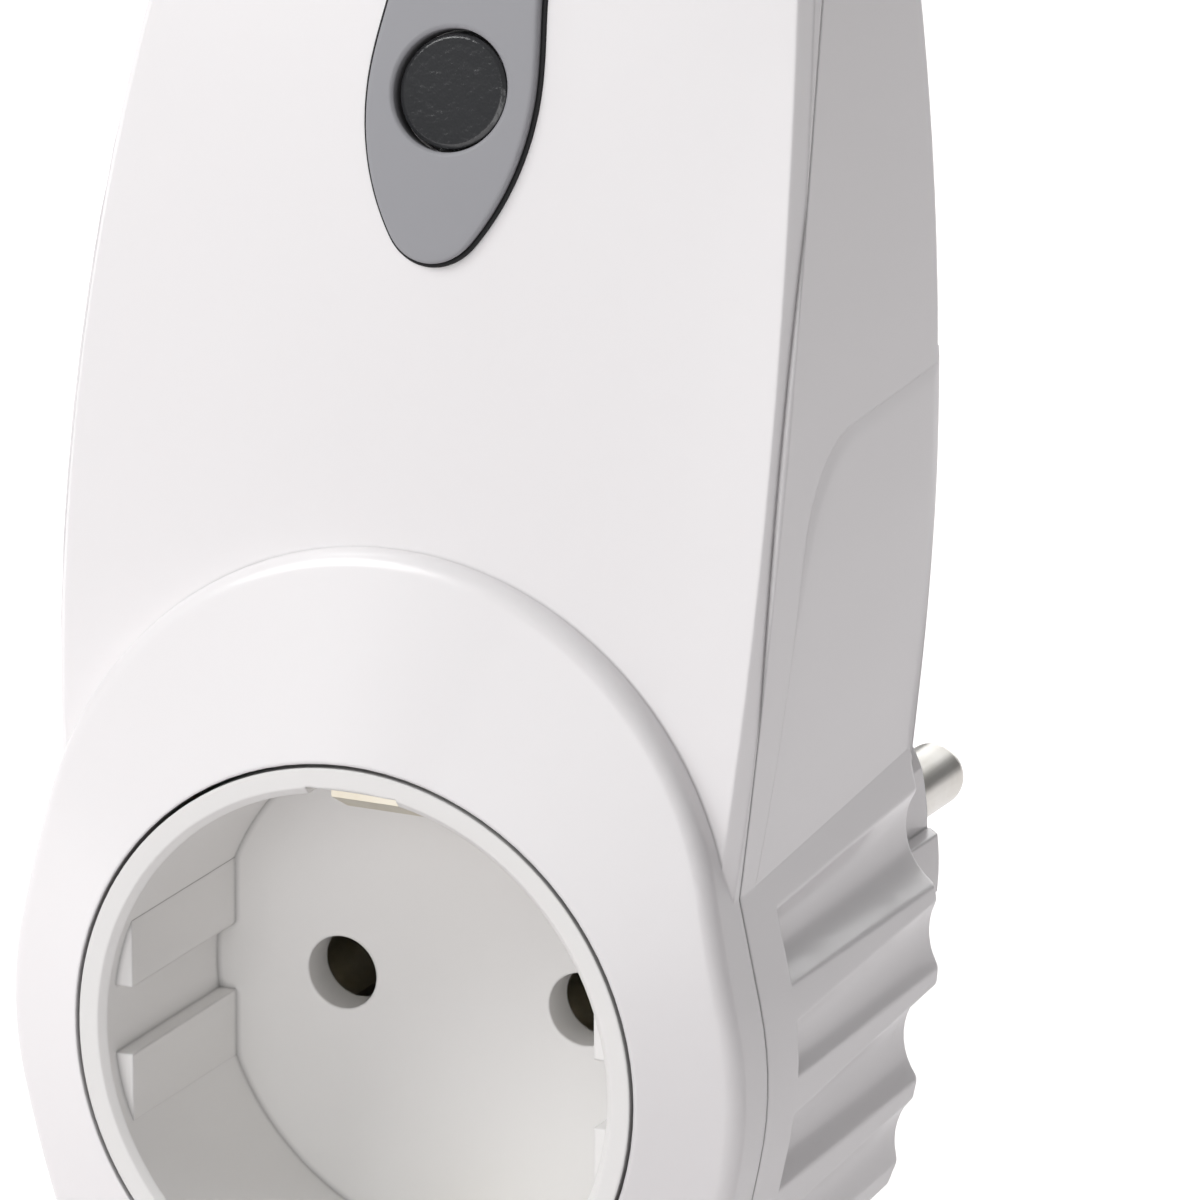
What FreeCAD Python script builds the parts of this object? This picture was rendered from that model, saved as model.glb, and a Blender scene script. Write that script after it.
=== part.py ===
import FreeCAD, Part
import math
import os
import Sketcher

# Plug-through inrush current limiter: a moulded two-part housing that plugs into a
# wall socket, carries a socket of its own at the lower end and a push button above.
# Frame: +Z up, +Y towards the wall, +X to the right as seen from the front.
# The origin is the centre of the face that the two plug pins stand on.

SIZES = (
    # housing
    ("body_depth", 42, "socket ring plane to the back of the housing"),
    ("draft", 3.4, "draft of the side walls, degrees"),
    ("wall", 2, "wall of both mouldings"),
    ("back_wall", 2.5, "thickness of the back"),
    ("body_half", 25.8, "half width of the upper body at the back"),
    ("body_mid", 43, "height of its widest level"),
    ("side_radius", 240, "radius of its sides"),
    ("shoulder_height", 80, "where the side meets the corner"),
    ("corner_radius", 12, "radius of the top corners"),
    ("corner_x", 15, "inner end of the top corner"),
    ("corner_height", 89.5, "height of that end"),
    ("top_radius", 46, "radius of the top edge"),
    ("body_foot", 2, "lower end of the upper body, inside the collar"),
    ("face_radius", 207, "radius of the domed front face"),
    ("face_centre_height", -5.6, "height of the centre of that dome"),
    ("face_centre_depth", 210.6, "depth of that centre behind the ring plane"),
    ("face_edge", 0.9, "bevel round the front face"),
    ("back_edge_fillet", 0.8, "edge of the back"),
    # collar round the socket
    ("collar_radius", 26.2, "middle circle of the collar at the back"),
    ("collar_end_radius", 24.3, "upper and lower circles of the collar at the back"),
    ("collar_end_offset", 9.06, "height of those circles above and below the axis"),
    ("collar_slope", 24.2, "slope of the collar cone, degrees"),
    ("collar_edge_fillet", 1.5, "edge of the collar"),
    # parting line
    ("parting_depth", 8.3, "ring plane to the parting line round the collar"),
    ("parting_height", 12, "height where the parting line starts to bend"),
    ("parting_radius", 132, "radius of that bend"),
    ("parting_gap", 0.25, "seam between the mouldings"),
    ("space_half", 40, "half width of the cutting blocks"),
    ("space_low", -50, "lower end of the cutting blocks"),
    ("space_high", 100, "upper end of the cutting blocks"),
    ("space_front", -20, "front end of the cutting blocks, from the ring plane"),
    # finger grip
    ("grip_depth", 0.85, "depth of a grip groove at the back"),
    ("grip_radius", 4.8, "radius of a grip groove at the back"),
    ("grip_start_radius", 3.1, "radius of a grip groove at its front end"),
    ("grip_start", 14, "ring plane to the front end of a grip groove"),
    ("grip_round", 0.5, "edge of a grip groove"),
    ("grip_height", 0.9, "height of the groove on the middle circle"),
    ("grip_upper_angle", 1, "groove on the upper circle, below its middle, degrees"),
    ("grip_lower_angle", 3.6, "first groove on the lower circle, above its middle, degrees"),
    ("grip_step_angle", 16.5, "angle between the grooves on the lower circle, degrees"),
    ("field_sink", 0.4, "depth of the thumb field on each side"),
    ("field_top", 43.3, "upper edge of the thumb field"),
    ("field_foot", 10, "lower end of the thumb field, inside the collar"),
    ("field_foot_depth", 10.5, "ring plane to the front of that end"),
    ("field_corner_height", 36.5, "height where the front edge of the field bends"),
    ("field_corner_depth", 16, "ring plane to that bend"),
    ("field_top_depth", 24.4, "ring plane to the end of the bend on the upper edge"),
    ("field_radius", 8.5, "radius of the bend"),
    # case screws
    ("screw_x", 16, "upper case screws from the middle"),
    ("screw_height", 80, "height of the upper case screws"),
    ("screw_low_x", 8.5, "lower case screws from the middle"),
    ("screw_low_height", -26, "height of the lower case screws"),
    ("post_radius", 3, "screw post"),
    ("post_joint", 34, "ring plane to where front and back posts meet"),
    ("screw_radius", 1.3, "thread of a case screw"),
    ("screw_length", 13, "case screw under its head"),
    ("screw_head_radius", 2.7, "head of a case screw"),
    ("screw_head_height", 1.8, "height of that head"),
    ("screw_sink", 2.2, "depth of the counterbore for the head"),
    ("screw_clear", 0.3, "play round the screw and its head"),
    ("pilot_play", 0.05, "play of a screw in its post"),
    ("cross_width", 0.8, "width of the cross slot"),
    ("cross_length", 3.4, "length of the cross slot"),
    ("cross_depth", 1, "depth of the cross slot"),
    # plug
    ("plug_length", 17.5, "housing back to the pin face"),
    ("plug_radius", 18.5, "plug body"),
    ("plug_wall", 2, "wall of the plug body"),
    ("plug_face_wall", 3, "thickness of the pin face"),
    ("plug_edge", 1, "chamfer round the pin face"),
    ("pin_spacing", 19, "distance between the pins"),
    ("pin_radius", 2.4, "pin"),
    ("pin_length", 19, "pin beyond the pin face"),
    ("pin_tip", 1.2, "rounding of the pin tip"),
    ("pin_neck_radius", 2.2, "pin inside the pin face"),
    ("pin_tail_radius", 1.6, "connection end of the pin"),
    ("pin_flange_radius", 3.4, "flange of the pin"),
    ("pin_flange", 1.5, "thickness of that flange"),
    ("pin_play", 0.1, "play of a pin in its holes"),
    ("carrier_depth", 5, "thickness of the pin carrier"),
    ("carrier_play", 0.3, "play of the carrier in the plug body"),
    ("guide_half", 8.5, "half height of the side recess of the plug"),
    ("guide_rib_half", 2.2, "half height of the rib in that recess"),
    ("guide_recess", 1.4, "depth of the side recess"),
    ("plate_half", 3, "half width of the earth strips"),
    ("strip", 0.8, "thickness of contact strips"),
    ("strip_play", 0.2, "play of a strip in its slot"),
    ("plate_front", 2, "pin face to the end of the earth plate"),
    ("plate_foot", 15.9, "pin face to the inward leg of the earth plate"),
    ("plate_leg_end", 4, "inner end of that leg from the axis"),
    ("bridge_half", 9, "half height of the earth bridge"),
    # socket
    ("socket_radius", 19.5, "socket mouth"),
    ("socket_depth", 17.5, "depth of the socket"),
    ("socket_rim", 21.45, "outer radius of the socket insert"),
    ("rim_gap", 0.3, "gap between socket insert and cover"),
    ("rim_chamfer", 0.5, "chamfer of the socket mouth"),
    ("socket_floor", 3, "thickness of the socket floor"),
    ("flange_radius", 24, "mounting flange of the insert"),
    ("flange_height", 2, "thickness of the flange"),
    ("flange_post_place", 15.8, "insert posts beside and above the axis"),
    ("flange_post_radius", 2.2, "insert post"),
    ("hole_radius", 2.7, "pin hole in the socket floor"),
    ("pad_flat", 18, "flat of the guide pads from the axis"),
    ("pad_root", 19.7, "root of the guide pads in the wall"),
    ("pad_half", 7.4, "half height of the guide pads"),
    ("pad_groove_half", 2.5, "half height of the groove between them"),
    ("pad_start", 1.5, "rim to the guide pads"),
    ("clip_channel", 20.7, "floor of the channel behind an earth clip"),
    ("clip_side_play", 0.5, "play beside an earth clip"),
    ("clip_outer", 19.3, "outer face of an earth clip"),
    ("clip_nose", 16.9, "inner point of an earth clip from the axis"),
    ("clip_bend", 8.5, "rim to the bend of the clip"),
    ("clip_nose_depth", 5.5, "rim to the nose of the clip"),
    ("clip_end", 3, "rim to the end of the clip"),
    ("clip_end_height", 18.3, "inner face of the clip at its end"),
    ("sleeve_radius", 2.75, "bore of a contact sleeve"),
    ("sleeve_wall", 0.7, "wall of a contact sleeve"),
    ("sleeve_length", 12, "length of a contact sleeve"),
    ("sleeve_slit", 1, "slit of a contact sleeve"),
    ("tab_half", 2.5, "half width of the tab of a contact"),
    ("tab_height", 29, "upper end of that tab"),
    # circuit board
    ("board", 1.6, "thickness of a circuit board"),
    ("board_stand", 2, "height of the board posts"),
    ("board_half", 20, "half width of the circuit board"),
    ("board_low", 26.5, "lower edge of the circuit board"),
    ("board_high", 75.5, "upper edge of the circuit board"),
    ("board_corner", 3, "corner cut of the circuit board"),
    ("board_post_x", 17, "board posts from the middle"),
    ("board_post_low", 29.7, "height of the lower board posts"),
    ("board_post_high", 72, "height of the upper board posts"),
    ("board_post_radius", 2.4, "board post"),
    ("board_screw_radius", 1.1, "board screw"),
    ("board_screw_length", 3.4, "board screw under its head"),
    ("board_screw_head", 2, "head radius of a board screw"),
    ("board_screw_head_height", 1.4, "head height of a board screw"),
    ("strap_half", 2.8, "half width of a pin strap"),
    ("strap_high", 29.5, "upper end of a pin strap"),
    ("strap_low", -3.4, "lower end of a pin strap"),
    ("strap_play", 0.1, "play of a pin tail in its strap"),
    # components on the board
    ("relay_gap", 0.4, "relay to the small board, sideways"),
    ("relay_z", 33, "lower side of the relay"),
    ("relay_width", 14, "width of the relay"),
    ("relay_length", 20, "length of the relay"),
    ("relay_height", 15.5, "height of the relay"),
    ("relay_chamfer", 0.6, "edge of the relay"),
    ("resistor_x", 9, "left side of the power resistor"),
    ("resistor_z", 33.5, "lower side of the power resistor"),
    ("resistor_side", 9.5, "width and height of the power resistor"),
    ("resistor_length", 22, "length of the power resistor"),
    ("resistor_chamfer", 0.8, "edge of the power resistor"),
    ("capacitor_x", 0, "left side of the mains capacitor"),
    ("capacitor_z", 33, "lower side of the mains capacitor"),
    ("capacitor_width", 6.5, "width of the mains capacitor"),
    ("capacitor_length", 15, "length of the mains capacitor"),
    ("capacitor_height", 12, "height of the mains capacitor"),
    ("fuse_x", -18, "left end of the fuse"),
    ("fuse_z", 57.5, "height of the fuse"),
    ("fuse_length", 20, "length of the fuse"),
    ("fuse_radius", 2.5, "glass of the fuse"),
    ("fuse_cap_radius", 2.65, "end cap of the fuse"),
    ("fuse_cap_length", 5, "length of an end cap"),
    ("fuse_lift", 4.4, "axis of the fuse above the board"),
    ("holder_half", 3.2, "half width of the fuse holder"),
    ("holder_base", 1.4, "base of the fuse holder"),
    ("holder_end", 1, "end plate of the fuse holder"),
    ("varistor_x", 12.5, "left side of the varistor"),
    ("varistor_z", 64, "height of the varistor"),
    ("varistor_radius", 6, "varistor disc"),
    ("varistor_thick", 4.5, "thickness of the varistor"),
    ("varistor_lift", 1.6, "varistor disc above the board"),
    ("lead_radius", 0.5, "component lead"),
    ("lead_offset", 2.5, "leads from the middle of a component"),
    ("can_x", -13, "smoothing capacitor from the middle"),
    ("can_z", 66, "height of the smoothing capacitor"),
    ("can_radius", 4, "can of the smoothing capacitor"),
    ("can_height", 10, "height of that can"),
    ("can_fillet", 0.6, "edge of that can"),
    ("bridge_x", -4, "left side of the rectifier"),
    ("bridge_z", 63.5, "lower side of the rectifier"),
    ("bridge_width", 8, "width of the rectifier"),
    ("bridge_length", 6.5, "length of the rectifier"),
    ("bridge_height", 3, "height of the rectifier"),
    ("transistor_x", 7.5, "transistor from the middle"),
    ("transistor_z", 60, "height of the transistor"),
    ("transistor_radius", 2.3, "round side of the transistor"),
    ("transistor_flat", 1.4, "flat side of the transistor from its axis"),
    ("transistor_height", 4.6, "height of the transistor"),
    # button and its surround
    ("button_height", 66.25, "height of the button on the front face"),
    ("button_tilt", 20.2, "slope of the face at the button, degrees"),
    ("surround_proud", 0.7, "surround above the front face"),
    ("surround_sink", 1, "surround below the front face"),
    ("surround_gap", 0.25, "gap round the surround"),
    ("surround_fillet", 0.25, "edge of the surround"),
    ("surround_tip_radius", 3.75, "radius of its lower tip"),
    ("surround_tip", 54.9, "height of its lowest point"),
    ("surround_half", 6.35, "half width beside the button"),
    ("surround_mid", 66.5, "height of its widest level"),
    ("surround_neck", 71.6, "lower end of the straight part"),
    ("surround_high", 81, "upper end of the straight part"),
    ("surround_top_radius", 5.9, "radius of its upper end"),
    ("button_radius", 4.05, "button"),
    ("button_gap", 0.3, "gap round the button"),
    ("button_recess", 0.6, "button below the top of the surround"),
    ("button_bevel", 0.3, "bevel round the button"),
    ("mouth_chamfer", 0.4, "chamfer of the button hole"),
    ("button_flange_radius", 5.2, "retaining flange of the button"),
    ("button_flange", 1, "thickness of that flange"),
    ("button_flange_play", 0.15, "flange below the inside of the cover"),
    ("button_stem_radius", 1.6, "stem of the button"),
    ("button_travel", 0.8, "travel of the button"),
    ("switch_seat", 9, "front face to the small board"),
    ("switch_half", 3, "half width of the switch"),
    ("switch_height", 3.4, "height of the switch"),
    ("switch_above", 1.1, "switch plunger above the switch"),
    ("switch_plunger_radius", 1.7, "switch plunger"),
    ("switch_bore", 2.4, "depth of the plunger bore"),
    ("switch_play", 0.1, "play of the plunger in its bore"),
    ("small_board_half", 5.4, "half width of the small board"),
    ("small_board_reach", 7, "half height of the small board"),
    ("small_post_radius", 1, "post of the small board"),
    ("small_post_x", 4.2, "those posts beside the button"),
    ("small_post_reach", 5.8, "those posts above and below the button"),
    ("cut_over", 1, "overrun of cutting tools"),
)


class Size:
    """A number with the expression that ties it to the sheet."""

    def __init__(self, value, text=None):
        self.value = float(value)
        self.text = repr(float(value)) if text is None else text
        self.bound = text is not None

    def join(self, sign, other, value):
        text = "(%s %s %s)" % (self.text, sign, other.text)
        result = Size(value, text)
        result.bound = self.bound or other.bound
        return result

    def __add__(self, other):
        other = size(other)
        return self.join("+", other, self.value + other.value)

    def __sub__(self, other):
        other = size(other)
        return self.join("-", other, self.value - other.value)

    def __mul__(self, other):
        other = size(other)
        return self.join("*", other, self.value * other.value)

    def __truediv__(self, other):
        other = size(other)
        return self.join("/", other, self.value / other.value)

    def __radd__(self, other):
        return size(other) + self

    def __rsub__(self, other):
        return size(other) - self

    def __rmul__(self, other):
        return size(other) * self

    def __neg__(self):
        return size(0) - self


def size(number):
    return number if isinstance(number, Size) else Size(number)


def root(term):
    return Size(math.sqrt(term.value), "sqrt(%s)" % term.text)


def sine(term):
    return Size(math.sin(math.radians(term.value)), "sin(%s)" % term.text)


def cosine(term):
    return Size(math.cos(math.radians(term.value)), "cos(%s)" % term.text)


def tangent(term):
    return Size(math.tan(math.radians(term.value)), "tan(%s)" % term.text)


class Sheet:
    """The driving sizes, one named cell each."""

    def __init__(self, document, rows):
        cells = document.addObject("Spreadsheet::Sheet", "Sizes")
        for row, (name, value, note) in enumerate(rows, 1):
            cells.set("A%d" % row, name)
            cells.set("B%d" % row, str(value))
            cells.set("C%d" % row, note)
            cells.setAlias("B%d" % row, name)
            setattr(self, name, Size(value, "Sizes." + name))


doc = FreeCAD.newDocument("CurrentLimiter")
s = Sheet(doc, SIZES)
doc.recompute()
nodes = []

ring = -(s.plug_length + s.body_depth)
back = -s.plug_length
X_AXIS = FreeCAD.Vector(1, 0, 0)
QUARTER = 90
TINY = 0.01
LOWER_GRIPS = 3
PLANES = {
    "XY": FreeCAD.Rotation(),
    "XZ": FreeCAD.Rotation(X_AXIS, QUARTER),
    "YZ": FreeCAD.Rotation(FreeCAD.Vector(1, 1, 1), 120),
}


def bind(thing, prop, value):
    """Sets a property and ties it to the sheet."""
    value = size(value)
    if value.bound:
        thing.setExpression(prop, value.text)
    else:
        setattr(thing, prop, value.value)


def move(thing, x=0, y=0, z=0):
    """Ties the position of an object to the sheet."""
    for axis, value in (("x", x), ("y", y), ("z", z)):
        thing.setExpression("Placement.Base." + axis, size(value).text)


def turn(thing, axis, angle):
    """Turns an object about an axis by an angle tied to the sheet."""
    angle = size(angle)
    thing.Placement.Rotation = FreeCAD.Rotation(axis, angle.value)
    if angle.bound:
        thing.setExpression("Placement.Rotation.Angle", angle.text)


def arc(start, end, radius):
    """The short arc between two points; the centre is on the left if radius > 0."""
    chord = end - start
    half = chord.Length / 2
    rise = math.sqrt(max(radius * radius - half * half, 0))
    left = FreeCAD.Vector(-chord.y, chord.x, 0).normalize()
    centre = (start + end) * 0.5 + left * math.copysign(rise, radius)
    first, last = (start, end) if radius > 0 else (end, start)
    circle = Part.Circle(centre, FreeCAD.Vector(0, 0, 1), abs(radius))
    return Part.ArcOfCircle(circle, circle.parameter(first), circle.parameter(last))


def draw(sketch, path):
    """Draws a closed path of points (x, y) or (x, y, radius of the arc that ends there)."""
    count = len(path)
    points = [FreeCAD.Vector(size(p[0]).value, size(p[1]).value, 0) for p in path]
    ends = []
    radii = []
    for i in range(count):
        start, end, goal = points[i], points[(i + 1) % count], path[(i + 1) % count]
        if len(goal) > 2:
            radius = size(goal[2])
            index = sketch.addGeometry(arc(start, end, radius.value), False)
            ends.append((index, 1, 2) if radius.value > 0 else (index, 2, 1))
            radii.append((index, radius if radius.value > 0 else -radius))
        else:
            index = sketch.addGeometry(Part.LineSegment(start, end), False)
            ends.append((index, 1, 2))
    for i in range(count):
        index, first, last = ends[i]
        following = ends[(i + 1) % count]
        sketch.addConstraint(
            Sketcher.Constraint("Coincident", index, last, following[0], following[1])
        )
        tie(sketch, "DistanceX", (-1, 1, index, first), path[i][0])
        tie(sketch, "DistanceY", (-1, 1, index, first), path[i][1])
    for index, radius in radii:
        tie(sketch, "Radius", (index,), radius)


def tie(sketch, kind, where, value):
    """Adds a dimension and ties it to the sheet."""
    value = size(value)
    index = sketch.addConstraint(Sketcher.Constraint(kind, *where, value.value))
    if value.bound:
        sketch.setExpression("Constraints[%d]" % index, value.text)


def draw_circle(sketch, x, y, radius):
    x, y, radius = size(x), size(y), size(radius)
    centre = FreeCAD.Vector(x.value, y.value, 0)
    circle = Part.Circle(centre, FreeCAD.Vector(0, 0, 1), radius.value)
    index = sketch.addGeometry(circle, False)
    tie(sketch, "DistanceX", (-1, 1, index, 3), x)
    tie(sketch, "DistanceY", (-1, 1, index, 3), y)
    tie(sketch, "Radius", (index,), radius)


def free_sketch(name, plane, paths, x=0, y=0, z=0):
    """A sketch outside a body, on a plane through (x, y, z)."""
    sketch = doc.addObject("Sketcher::SketchObject", name)
    sketch.Placement.Rotation = PLANES[plane]
    move(sketch, x, y, z)
    for path in paths:
        draw(sketch, path)
    return sketch


def extrude(name, sketch, forward, reverse=0, taper=0):
    solid = doc.addObject("Part::Extrusion", name)
    solid.Base = sketch
    solid.DirMode = "Normal"
    solid.Solid = True
    bind(solid, "LengthFwd", forward)
    bind(solid, "LengthRev", reverse)
    bind(solid, "TaperAngle", taper)
    return solid


def cylinder(name, radius, length, x, y, z, axis=X_AXIS, angle=-QUARTER):
    """A cylinder; without axis and angle it runs along +Y from (x, y, z)."""
    solid = doc.addObject("Part::Cylinder", name)
    bind(solid, "Radius", radius)
    bind(solid, "Height", length)
    turn(solid, axis, angle)
    move(solid, x, y, z)
    return solid


def box(name, low, high):
    """A box between two corners."""
    solid = doc.addObject("Part::Box", name)
    for prop, a, b in zip(("Length", "Width", "Height"), low, high):
        bind(solid, prop, size(b) - a)
    move(solid, *low)
    return solid


def join(name, *parts):
    solid = doc.addObject("Part::MultiFuse", name)
    solid.Shapes = list(parts)
    return solid


def cut(name, base, *tools):
    solid = doc.addObject("Part::Cut", name)
    solid.Base = base
    solid.Tool = tools[0] if len(tools) == 1 else join(name + "_tools", *tools)
    return solid


def common(name, *parts):
    solid = doc.addObject("Part::MultiCommon", name)
    solid.Shapes = list(parts)
    return solid


def dress(kind, name, base, rounds):
    """Rounds or bevels the edges that each test picks, with its size."""
    doc.recompute()
    chosen = []
    for index, edge in enumerate(base.Shape.Edges, 1):
        span = edge.ParameterRange
        middle = edge.valueAt((span[0] + span[1]) / 2)
        for reach, picks in rounds:
            if picks(middle):
                chosen.append((index, reach.value, reach.value))
    solid = doc.addObject(kind, name)
    solid.Base = base
    solid.Edges = chosen
    return solid


def fillet(name, base, *rounds):
    return dress("Part::Fillet", name, base, rounds)


def chamfer(name, base, *bevels):
    return dress("Part::Chamfer", name, base, bevels)


def node(thing, label):
    """Keeps an object as a sub-part of the assembly."""
    thing.Label = label
    nodes.append(thing)
    return thing


def new_body(label):
    return node(doc.addObject("PartDesign::Body", label), label)


def body_sketch(body, name, plane, offset=0):
    """A sketch on one of the body's own planes, shifted along its normal."""
    sketch = body.newObject("Sketcher::SketchObject", name)
    role = plane + "_Plane"
    base = [item for item in body.Origin.OriginFeatures if item.Role == role]
    sketch.AttachmentSupport = [(base[0], "")]
    sketch.MapMode = "FlatFace"
    sketch.setExpression("AttachmentOffset.Base.z", size(offset).text)
    return sketch


def pad(body, name, sketch, length, reverse=False):
    feature = body.newObject("PartDesign::Pad", name)
    feature.Profile = sketch
    feature.Reversed = reverse
    bind(feature, "Length", length)
    return feature


def pocket(body, name, sketch, length, reverse=False):
    """Cuts a sketch out of a body and makes sure that it removed something."""
    doc.recompute()
    before = body.Shape.Volume
    feature = body.newObject("PartDesign::Pocket", name)
    feature.Profile = sketch
    feature.Reversed = reverse
    bind(feature, "Length", length)
    doc.recompute()
    if body.Shape.Volume >= before:
        raise RuntimeError(name + " cuts nothing")
    return feature


def revolve(body, name, path):
    """Turns a path of (radius, y) about the local Y axis."""
    sketch = body_sketch(body, name + "_profile", "XY")
    draw(sketch, path)
    feature = body.newObject("PartDesign::Revolution", name)
    feature.Profile = sketch
    feature.ReferenceAxis = (sketch, ["V_Axis"])
    feature.Angle = 360
    return feature


# Housing

def side_x(inset, height):
    """Half width of the upper body at a height, for a wall moved in by inset."""
    reach = s.side_radius - inset
    rise = height - s.body_mid
    return s.body_half - s.side_radius + root(reach * reach - rise * rise)


def body_outline(inset):
    """Upper body seen from the front, at the back plane."""
    share = 1 - inset / s.side_radius
    rise = s.shoulder_height - s.body_mid
    shoulder_z = s.body_mid + rise * share
    centre_x = s.body_half - s.side_radius
    shoulder_x = centre_x + root(s.side_radius * s.side_radius - rise * rise) * share
    corner_x = s.corner_x * (1 - inset / s.top_radius)
    lean = s.corner_x / s.top_radius
    corner_z = s.corner_height - inset * root(1 - lean * lean)
    foot_x = side_x(inset, s.body_foot)
    corner = s.corner_radius - inset
    side = s.side_radius - inset
    return (
        (foot_x, s.body_foot),
        (shoulder_x, shoulder_z, side),
        (corner_x, corner_z, corner),
        (-corner_x, corner_z, s.top_radius - inset),
        (-shoulder_x, shoulder_z, corner),
        (-foot_x, s.body_foot, side),
    )


def collar_outline(inset):
    """Three circles above one another in one belt, at the back plane."""
    middle = s.collar_radius - inset
    end = s.collar_end_radius - inset
    lean = (s.collar_radius - s.collar_end_radius) / s.collar_end_offset
    level = root(1 - lean * lean)
    mid_x, mid_z = middle * level, middle * lean
    end_x, end_z = end * level, s.collar_end_offset + end * lean
    return (
        (mid_x, -mid_z),
        (mid_x, mid_z, middle),
        (end_x, end_z),
        (-end_x, end_z, end),
        (-mid_x, mid_z),
        (-mid_x, -mid_z, middle),
        (-end_x, -end_z),
        (end_x, -end_z, end),
    )


def space(name, front_paths):
    """A region drawn from the side and carried across the whole width."""
    sketch = free_sketch(name + "_side", "YZ", front_paths)
    return extrude(name, sketch, s.space_half, s.space_half)


def face_space(name, inset):
    """Everything behind the domed front face, moved in by inset."""
    solid = doc.addObject("Part::Sphere", name)
    bind(solid, "Radius", s.face_radius - inset)
    move(solid, 0, ring + s.face_centre_depth, s.face_centre_height)
    return solid


def on_dome(point, proud):
    """True at a distance in front of the domed face."""
    centre_y = ring.value + s.face_centre_depth.value
    centre = FreeCAD.Vector(0, centre_y, s.face_centre_height.value)
    return abs(point.distanceToPoint(centre) - s.face_radius.value - proud) < TINY


def parting_space(name, shift):
    """Everything in front of the parting line, moved by shift."""
    flat = ring + s.parting_depth + shift
    rise = s.space_high - s.parting_height
    top = flat + s.parting_radius - root(s.parting_radius * s.parting_radius - rise * rise)
    front = ring + s.space_front
    path = (
        (front, s.space_low),
        (flat, s.space_low),
        (flat, s.parting_height),
        (top, s.space_high, -s.parting_radius),
        (front, s.space_high),
    )
    return space(name, (path,))


def cone_space(name, inset):
    """Everything behind the collar cone, moved in by inset."""
    slope = tangent(s.collar_slope)
    setback = inset / cosine(s.collar_slope)
    inner = s.socket_rim + s.rim_gap
    start = ring + setback
    reach = s.space_half
    body = doc.addObject("PartDesign::Body", name)
    path = (
        (0, start),
        (inner, start),
        (reach, start + (reach - inner) * slope),
        (reach, back),
        (0, back),
    )
    revolve(body, name + "_turn", path)
    return body


def block(name, inset):
    """The solid form of the housing with its walls moved in by inset."""
    inset = size(inset)
    body_front = extrude(
        name + "_body",
        free_sketch(name + "_body_outline", "XZ", (body_outline(inset),), y=back),
        s.body_depth, 0, s.draft,
    )
    collar_front = extrude(
        name + "_collar",
        free_sketch(name + "_collar_outline", "XZ", (collar_outline(inset),), y=back),
        s.body_depth, 0, s.draft,
    )
    upper = common(name + "_upper", body_front, face_space(name + "_face", inset))
    lower = common(name + "_lower", collar_front, cone_space(name + "_cone", inset))
    return upper, lower, (body_front, collar_front)


def on_face(point):
    """True on the edge of the front face."""
    return point.z > s.body_foot.value + TINY and on_dome(point, 0)


def on_collar(point):
    """True on the outer edge of the collar cone."""
    reach = math.hypot(point.x, point.z)
    inner = s.socket_rim.value + s.rim_gap.value
    depth = (reach - inner) * tangent(s.collar_slope).value
    return reach > inner + TINY and abs(point.y - ring.value - depth) < TINY


def on_back(point):
    """True on the edges of the back, but not at the hidden foot."""
    foot = abs(point.z - s.body_foot.value) < TINY
    return abs(point.y - back.value) < TINY and not foot


def grip_places():
    """Axes of the grip grooves on one side: half width and height."""
    middle = s.collar_radius + s.grip_radius - s.grip_depth
    level = s.collar_end_radius + s.grip_radius - s.grip_depth
    upper = s.grip_upper_angle
    places = [
        (root(middle * middle - s.grip_height * s.grip_height), s.grip_height),
        (level * cosine(upper), s.collar_end_offset - level * sine(upper)),
    ]
    for count in range(LOWER_GRIPS):
        angle = s.grip_lower_angle - s.grip_step_angle * count
        places.append((level * cosine(angle), level * sine(angle) - s.collar_end_offset))
    return places


def grip_tools():
    """Tapered grooves that follow the sides of the collar."""
    tools = []
    for side in (1, -1):
        for x, z in grip_places():
            tool = doc.addObject("Part::Cone", "grip_groove")
            bind(tool, "Radius1", s.grip_start_radius)
            bind(tool, "Radius2", s.grip_radius)
            bind(tool, "Height", s.body_depth - s.grip_start)
            turn(tool, X_AXIS, -QUARTER)
            move(tool, x * side, ring + s.grip_start, z)
            tools.append(tool)
    return tools


def on_grip(point):
    """True on the long edges of a grip groove."""
    run = point.y - ring.value - s.grip_start.value
    length = s.body_depth.value - s.grip_start.value
    if not TINY < run < length - TINY:
        return False
    growth = (s.grip_radius.value - s.grip_start_radius.value) / length
    radius = s.grip_start_radius.value + growth * run
    return any(abs(math.hypot(abs(point.x) - x.value, point.z - z.value) - radius) < TINY
               for x, z in grip_places())


def thumb_field(collar):
    """The skin that the shallow field on each side takes off the upper body."""
    path = (
        (back + s.cut_over, s.field_foot),
        (back + s.cut_over, s.field_top),
        (ring + s.field_top_depth, s.field_top),
        (ring + s.field_corner_depth, s.field_corner_height, s.field_radius),
        (ring + s.field_foot_depth, s.field_foot),
    )
    outline = free_sketch("field_outline", "XZ", (body_outline(s.field_sink),), y=back)
    core = extrude("field_core", outline, s.body_depth, s.cut_over * 2, s.draft)
    return cut("field_skin", space("field", (path,)), core, collar)


def outer_form():
    upper, lower, _ = block("outer", 0)
    skin = thumb_field(lower)
    upper = chamfer("outer_upper_bevel", upper, (s.face_edge, on_face))
    upper = fillet("outer_upper_round", upper, (s.back_edge_fillet, on_back))
    lower = fillet("outer_lower_round", lower, (s.collar_edge_fillet, on_collar),
                   (s.back_edge_fillet, on_back))
    whole = join("outer_whole", cut("outer_upper", upper, skin), lower)
    grooved = cut("outer_grooved", whole, *grip_tools())
    return fillet("outer", grooved, (s.grip_round, on_grip))


def front_region(name, rear_y):
    """A block that holds everything in front of a depth."""
    low = (-s.space_half, ring + s.space_front, s.space_low)
    return box(name, low, (s.space_half, rear_y, s.space_high))


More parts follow.
